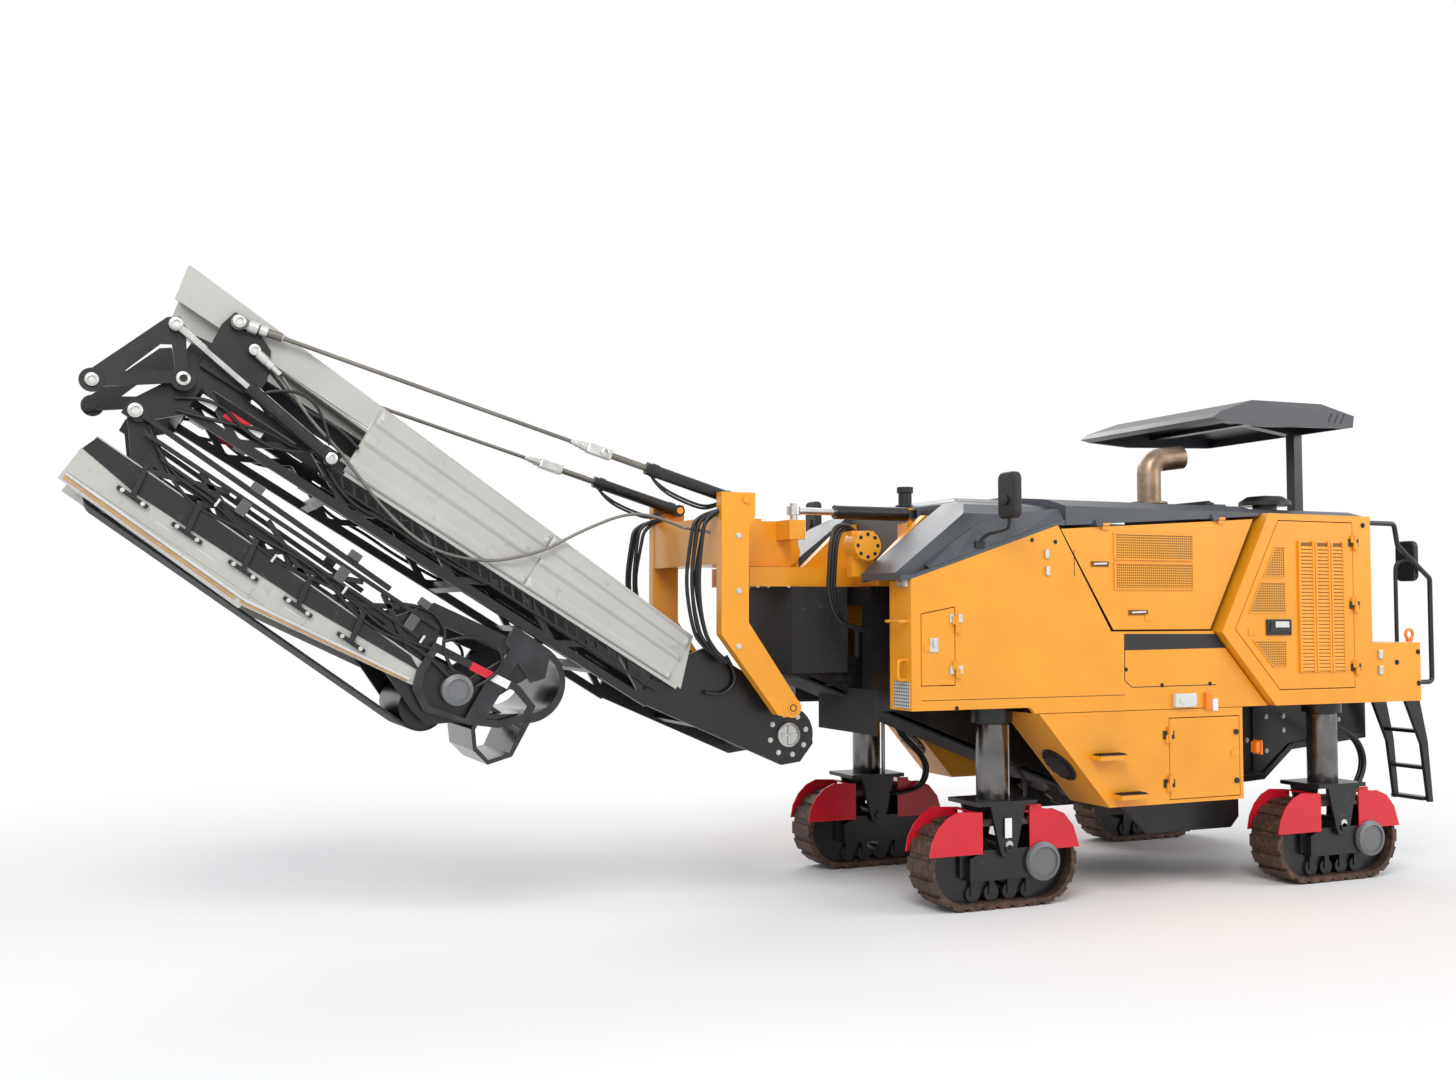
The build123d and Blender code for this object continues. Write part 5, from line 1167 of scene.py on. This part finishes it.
valves = [row for along in (0.72, 1.34, 1.80) for row in
          (((along, 0.105), (0.060, 0.030, 0.085)), ((along, -0.020), (0.070, 0.028, 0.045)))]
fit_pair(upper_blocks(valves, -CAGE_FACE - 0.014, 0.004), "valve_blocks", UPPER, engine_metal)
clip_places = ((0.60, 0.16), (1.00, 0.235), (1.40, 0.165), (1.90, 0.150))
clips = upper_blocks([(place, (0.014, 0.016, 0.050)) for place in clip_places], -CAGE_FACE - 0.024, 0.003)
fit_pair(clips, "hose_clips", UPPER, zinc)
print("cage bars", len(cage))

# %% [markdown]
# The outer flange of the boards is a long pressed bead that catches the light. Its finish is paler than
# the board's: partly bare metal, partly a painted highlight along the bead. Two softened bars follow
# its bend; a bead painted on the board would have no edges. Three short strips on the board are
# painted highlights too.

# %% Bright flange
# paler than the board: partly bare metal, partly a painted highlight along the bead
metal_and_painted_highlight = finish("metal_and_painted_highlight", (0.62, 0.63, 0.62), 0.08, 0.28, metallic=0.55, scale=10)
flange = upper_bars([((-0.07, 0.462), (1.005, 0.500), 0.009, 0.016, 0.004),
                     ((1.005, 0.500), (1.97, 0.368), 0.009, 0.016, 0.004)], -0.4505)
fit_pair(flange, "board_flange", UPPER, metal_and_painted_highlight)
# short bright strips laid almost flat on the board: painted highlights in the flange's finish
painted_glints = upper_blocks([((along, 0.415), (0.10, 0.001, 0.006)) for along in (0.46, 0.70, 1.24)],
                          -0.4465, 0.0002)
fit_pair(painted_glints, "board_painted_glints", UPPER, metal_and_painted_highlight)
print("flange runs", len(flange))

# %% [markdown]
# ## Rope ends
# Every rope ends in a turned socket with a clevis. The stay's own socket hides in the coupling by its
# cylinder, so the coupling gets a bright clevis, a cone and a pin. The cone is three shrinking discs,
# which shows the steps of the real one.

# %% Clevises and second sockets
clevises = [block(on_stay(0.925), (0.156, 0.058, 0.066), 0.010, turned(stay_along, stay_up)),
            pin_head(on_stay(0.895, -STAY_Y - 0.029), 0.026, 0.010)]
clevises += stay_rings(((1.020, 0.027, 0.040), (1.055, 0.021, 0.040), (1.085, 0.016, 0.040)), 20)
fit_pair(clevises, "stay_clevises", "stay_rams", zinc)
spare_start = on_lower(3.83, 0.151, -0.500)
run = on_lower(3.655, 0.117, -0.495) - spare_start
spare = [pin_head(spare_start + OUT * 0.004, 0.030, 0.016)]
spare += [disc(spare_start + run * share, run.normalized(), radius, run.length * 0.30, sides=20)
          for share, radius in ((0.30, 0.026), (0.55, 0.022), (0.85, 0.016))]
fit_pair(spare, "spare_sockets", LOWER, zinc)
print("clevises on")

# %% [markdown]
# ## Hinges, flap and leg hoses
# Door hinges are pressed leaves either side of the knuckle: one leaf goes with the door, the other
# stays on the body. One hinge piece would be simpler, but it would tear when the door opens.

# %% Hinge leaves
def leaves(x, heights, face):
    return side_blocks([(x, z, 0.004, (0.030, 0.006, 0.052), 0.002) for z in heights], face)


leaf_sets = (
    # door, hinge line, step from it to the door's leaf, heights, face
    ("nose_door", -0.452, -0.030, (1.478, 1.785), PANEL_FACE),
    ("lower_door", 1.142, 0.030, (0.730, 1.038), PANEL_FACE),
    ("louvre_door", 2.714, -0.030, (1.446, 1.871, 2.296), CABINET_FACE),
)
for door, x, step, heights, face in leaf_sets:
    door_leaves, body_leaves = leaves(x + step, heights, face), leaves(x - step, heights, face)
    if door == "nose_door":  # on the left side only
        fit(door_leaves, "nose_door_leaves", "left_nose_door", zinc)
        fit(body_leaves, "nose_door_fixed_leaves", "machine", zinc)
    else:
        fit_both(door_leaves, door + "_leaves", door, satin_black)
        fit_both(body_leaves, door + "_fixed_leaves", "machine", satin_black)
print("hinge leaves on", len(leaf_sets), "doors")

# %% [markdown]
# A rubber flap hangs under the nose and keeps stones off the columns. It is a sheet with a slight
# wave, so it reads as rubber and not as steel. A blank tag hangs on the front left fork. Bright guide
# rods stand beside the columns, and thick hoses feed the track motors; they ride with the crawlers,
# whose end moves most.

# %% Rubber flap, fork tag, guide rods and leg hoses
flap_rows = [[(at(-0.752 - 0.010 * sin(3 * y)), y, z) for y in (-0.66, -0.50, -0.30, -0.10, 0.09)]
             for z in (1.34, 1.20, 1.06)]
fit(folded_sheet(flap_rows, 0.008), "rubber_flap", "machine", rubber)
fork_tag = block((at(-0.01), -0.986, 0.500), (0.050, 0.004, 0.120), 0.001)
fit(fork_tag, "fork_tag", "front_left_crawler", white_tape)
for crawler, x, side, gauge in crawlers:
    guide = disc((x + 0.128, side * (gauge - 0.02), 0.865), UP, 0.014, 0.490, sides=20)
    fit(guide, crawler + "_guide_rod", crawler + "_crawler", zinc)
FRONT_HOSE = ((0.077, 1.10), (0.16, 0.95), (0.31, 0.82), (0.385, 0.72), (0.37, 0.60), (0.27, 0.53),
              (0.10, 0.52))
REAR_HOSE = ((0.13, 1.10), (0.28, 1.02), (0.47, 0.93), (0.55, 0.78), (0.50, 0.62), (0.38, 0.50))
front_routes = [[(at(x + 0.015 * i), 0.02 * i - 0.62, z) for x, z in FRONT_HOSE] for i in range(2)]
rear_routes = [[(REAR_AXLE + x, -0.80 - 0.03 * i, z) for x, z in REAR_HOSE] for i in range(2)]
leg_hoses = (("front_right", 0.013, other_side(front_routes)), ("front_left", 0.011, front_routes),
             ("rear_left", 0.016, rear_routes), ("rear_right", 0.016, other_side(rear_routes)))
for corner, radius, routes in leg_hoses:
    hoses(corner + "_leg_hoses", corner + "_crawler", radius, routes)
print("flap, tag, rods and leg hoses on")

# %% [markdown]
# ## Operator's place and roof
# The roof's rim has three slanted slots near its rear corners. Dark bars laid in the rim show them
# without cutting the CAD piece. Round knobs and padded rests stand on the console.

# %% Roof slots and console
roof_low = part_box("canopy")[0]
slots = [bar((at(x - 0.020), roof_low[1] + 0.004, roof_low[2] + 0.060),
             (at(x + 0.020), roof_low[1] + 0.004, roof_low[2] + 0.130), 0.012, 0.016)
         for x in (2.985, 3.045, 3.105)]
fit_pair(slots, "roof_slots", "machine", satin_black)
console_x, console_top = middle_x("control_console") + 0.02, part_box("control_console")[1][2]
knobs = [disc((console_x, y, console_top - 0.012), UP, 0.020, 0.020, sides=20)
         for y in (-0.30, -0.18, 0.18, 0.30)]
fit(knobs, "console_knobs", "machine", red)
pads = [block((console_x, y, console_top - 0.030), (0.150, 0.260, 0.024), 0.006) for y in (-0.24, 0.24)]
fit(pads, "console_pads", "machine", engine_metal)
print("roof and console dressed")

# %% [markdown]
# The mirrors are round-cornered shells on bent tubes. A shell could be a bevelled box, but its corners
# are far rounder than its edges, so an outline with rounded corners is thickened and then softened.
# The tubes and shells stand for the simpler mirrors of the frame; the glass is a plate of its own.

# %% Mirrors
CORNER_TURNS = 6  # steps round each corner


def rounded(x, y, z, width, height, radius):
    """A rectangle's outline with round corners, square to the X axis."""
    outline = []
    for quarter, (right, up) in enumerate(((1, 1), (-1, 1), (-1, -1), (1, -1))):
        for step in range(CORNER_TURNS + 1):
            angle = (quarter + step / CORNER_TURNS) * pi / 2
            outline.append((x, y + right * (width / 2 - radius) + radius * cos(angle),
                            z + up * (height / 2 - radius) + radius * sin(angle)))
    return outline


def tube(route, radius):
    """A bent tube as a mesh, from a curve along the route."""
    piece = as_mesh(hoses("mirror_tube", None, radius, [route]))
    piece.data.materials.clear()
    return piece


def slab(place, size, radius, depth):
    return plate(rounded(*place, *size, radius), ALONG * depth, edge=0)


ARM_FOOT = 0.012 - PANEL_FACE  # Y of the front mirror's foot and of its shell
SHELL_Y = ARM_FOOT - 0.190
arm = tube([(at(x), y, z) for x, y, z in
            ((-0.27, ARM_FOOT, 2.207), (-0.27, ARM_FOOT, 2.285), (-0.185, ARM_FOOT - 0.160, 2.315),
             (-0.18, SHELL_Y, 2.345), (-0.18, SHELL_Y, 2.48))], 0.011)
arm_foot = block((at(-0.27), ARM_FOOT, 2.228), (0.070, 0.022, 0.046), 0.005)
ball = disc((at(-0.195), SHELL_Y, 2.49), ALONG, 0.030, 0.060, sides=28, edge=0.006)
shell = soften(slab((at(-0.209), SHELL_Y, 2.52), (0.180, 0.280), 0.045, 0.056), 0.014, steps=3)
pole = tube([(at(x), -1.0, z) for x, z in
             ((3.29, 1.612), (3.29, 2.05), (3.29, 2.16), (3.35, 2.185), (3.40, 2.19))], 0.014)
rear_shell = soften(slab((at(3.382), -1.0, 2.185), (0.168, 0.288), 0.045, 0.046), 0.012, steps=3)
mirror_parts = [shell, arm, arm_foot, ball, pole, rear_shell]
mirror_set = fit_pair(mirror_parts, "mirror_shells", "machine", satin_black)
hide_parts("mirrors")
panes = [slab((at(-0.154), SHELL_Y, 2.52), (0.150, 0.250), 0.036, 0.003),
         slab((at(3.381), -1.0, 2.185), (0.140, 0.260), 0.036, -0.002)]
fit_pair(panes, "mirror_panes", "machine", glass)
print("mirrors", len(mirror_set.data.polygons), "faces")

# %% [markdown]
# Beside the panel's sloping edge the front hood turns down in a narrow facet. A folded sheet between
# the panel's edge and the hood's skin closes it on each side, and flat strips cover the joints between
# the hood's middle and its flanks. The frame's own shapes stay as they are, so the gaps are covered
# and not filled.

# %% Hood side plates
def hood_sheet(stations, low_y, high_y, thickness):
    """A sheet between two edges, from stations of x and the height of each edge."""
    return folded_sheet([[(at(x), low_y, low) for x, low, _ in stations],
                         [(at(x), high_y, high) for x, _, high in stations]], thickness)


side_plate = hood_sheet(((-0.630, 2.083, 2.110), (-0.450, 2.1415, 2.232), (-0.250, 2.207, 2.362),
                         (0.0, 2.2885, 2.432), (0.345, 2.4015, 2.470)), -1.094, -1.042, 0.006)
fit_pair(side_plate, "hood_side_plates", "machine", dark_grey)
top_strip = hood_sheet(((-0.212, 2.517, 2.517), (-0.191, 2.523, 2.523), (-0.131, 2.523, 2.541),
                        (0.334, 2.523, 2.541)), -0.703, -0.590, 0.005)
front_strip = hood_sheet(((-0.212, 2.517, 2.517), (-0.112, 2.546, 2.546)), -0.600, 0.0, 0.005)
fit_pair([top_strip, front_strip], "hood_strips", "machine", dark_grey)
print("hood sides closed")

# %% [markdown]
# Behind the lower boxes the sides of the drum chamber run back to the rear columns as black plates,
# stiffened by bars and bolted on. Each is one plate cut to its outline, with bars laid along its
# edges. They start behind the drum housing, clear of the turning drum.

# %% Rear side plates
PLATE_Y = -0.590
REAR_OUTLINE = ((2.095, 0.62), (2.44, 0.64), (2.70, 0.84), (3.42, 0.90), (3.42, 1.24), (2.095, 1.24))
RIBS = ((2.11, 0.655, 2.42, 0.675), (2.42, 0.675, 2.68, 0.872), (2.68, 0.872, 3.40, 0.930),
        (2.34, 0.700, 2.34, 1.150), (2.94, 0.920, 2.94, 1.150))
STUDS = ((2.18, 0.76), (2.18, 1.08), (2.28, 0.92), (2.46, 0.84), (2.46, 1.08), (2.62, 0.98), (2.62, 1.08),
         (3.15, 1.04))
rear_plate = [plate([(at(x), PLATE_Y, z) for x, z in REAR_OUTLINE], OUT * -0.012)]
rear_plate += [bar((at(x0), PLATE_Y - 0.008, z0), (at(x1), PLATE_Y - 0.008, z1), 0.016, 0.030)
               for x0, z0, x1, z1 in RIBS]
fit_pair(rear_plate, "rear_side_plates", "machine", black)
studs = [(at(x), PLATE_Y, z) for x, z in STUDS] + [(at(2.035), -0.708, z) for z in (0.68, 0.88, 1.08)]
fit_pair(bolts(studs, 0.012), "rear_plate_bolts", "machine", zinc)
print("rear plates", len(REAR_OUTLINE), "corners")

# %% [markdown]
# ## Floor and finish
# The floor is a pale plane that takes the machine's shadow. A backdrop with a curved foot would do as
# well, but its curve shows in low views. Far from the machine the plane fades to the white of the
# world, so no horizon shows.

# %% Floor
select_only()
bpy.ops.mesh.primitive_plane_add(size=120, location=(0, 0, -0.002))
floor = bpy.context.object
floor.name = "floor"
floor_paint = bpy.data.materials.new("floor_paint")
floor_paint.use_nodes = True
tree = floor_paint.node_tree
shader = tree.nodes["Principled BSDF"]
grain = wire(tree, "TexNoise", {"Scale": 2})
tint = ramp(tree, grain.outputs["Fac"], (0, (0.86, 0.86, 0.86)), (1, (0.90, 0.90, 0.90)))
plug(tree, shader, {"Roughness": 0.9, "Specular IOR Level": 0.1, "Base Color": tint})
place = wire(tree, "TexCoord").outputs["Object"]
reach = wire(tree, "VectorMath", {0: place}, operation="LENGTH")
fade = wire(tree, "MapRange", {"From Min": 4.0, "From Max": 9.0, "Value": reach.outputs["Value"]},
            interpolation_type="SMOOTHSTEP")
far_seen = wire(tree, "Math", {0: fade.outputs["Result"], 1: white_rays(tree)}, operation="MULTIPLY")
plain_white = wire(tree, "Emission")
floor_mix = wire(tree, "MixShader", {"Fac": far_seen.outputs["Value"], 1: shader.outputs["BSDF"],
                                     2: plain_white.outputs["Emission"]})
plug(tree, tree.nodes["Material Output"], {"Surface": floor_mix.outputs["Shader"]})
floor.data.materials.append(floor_paint)
print("floor laid")
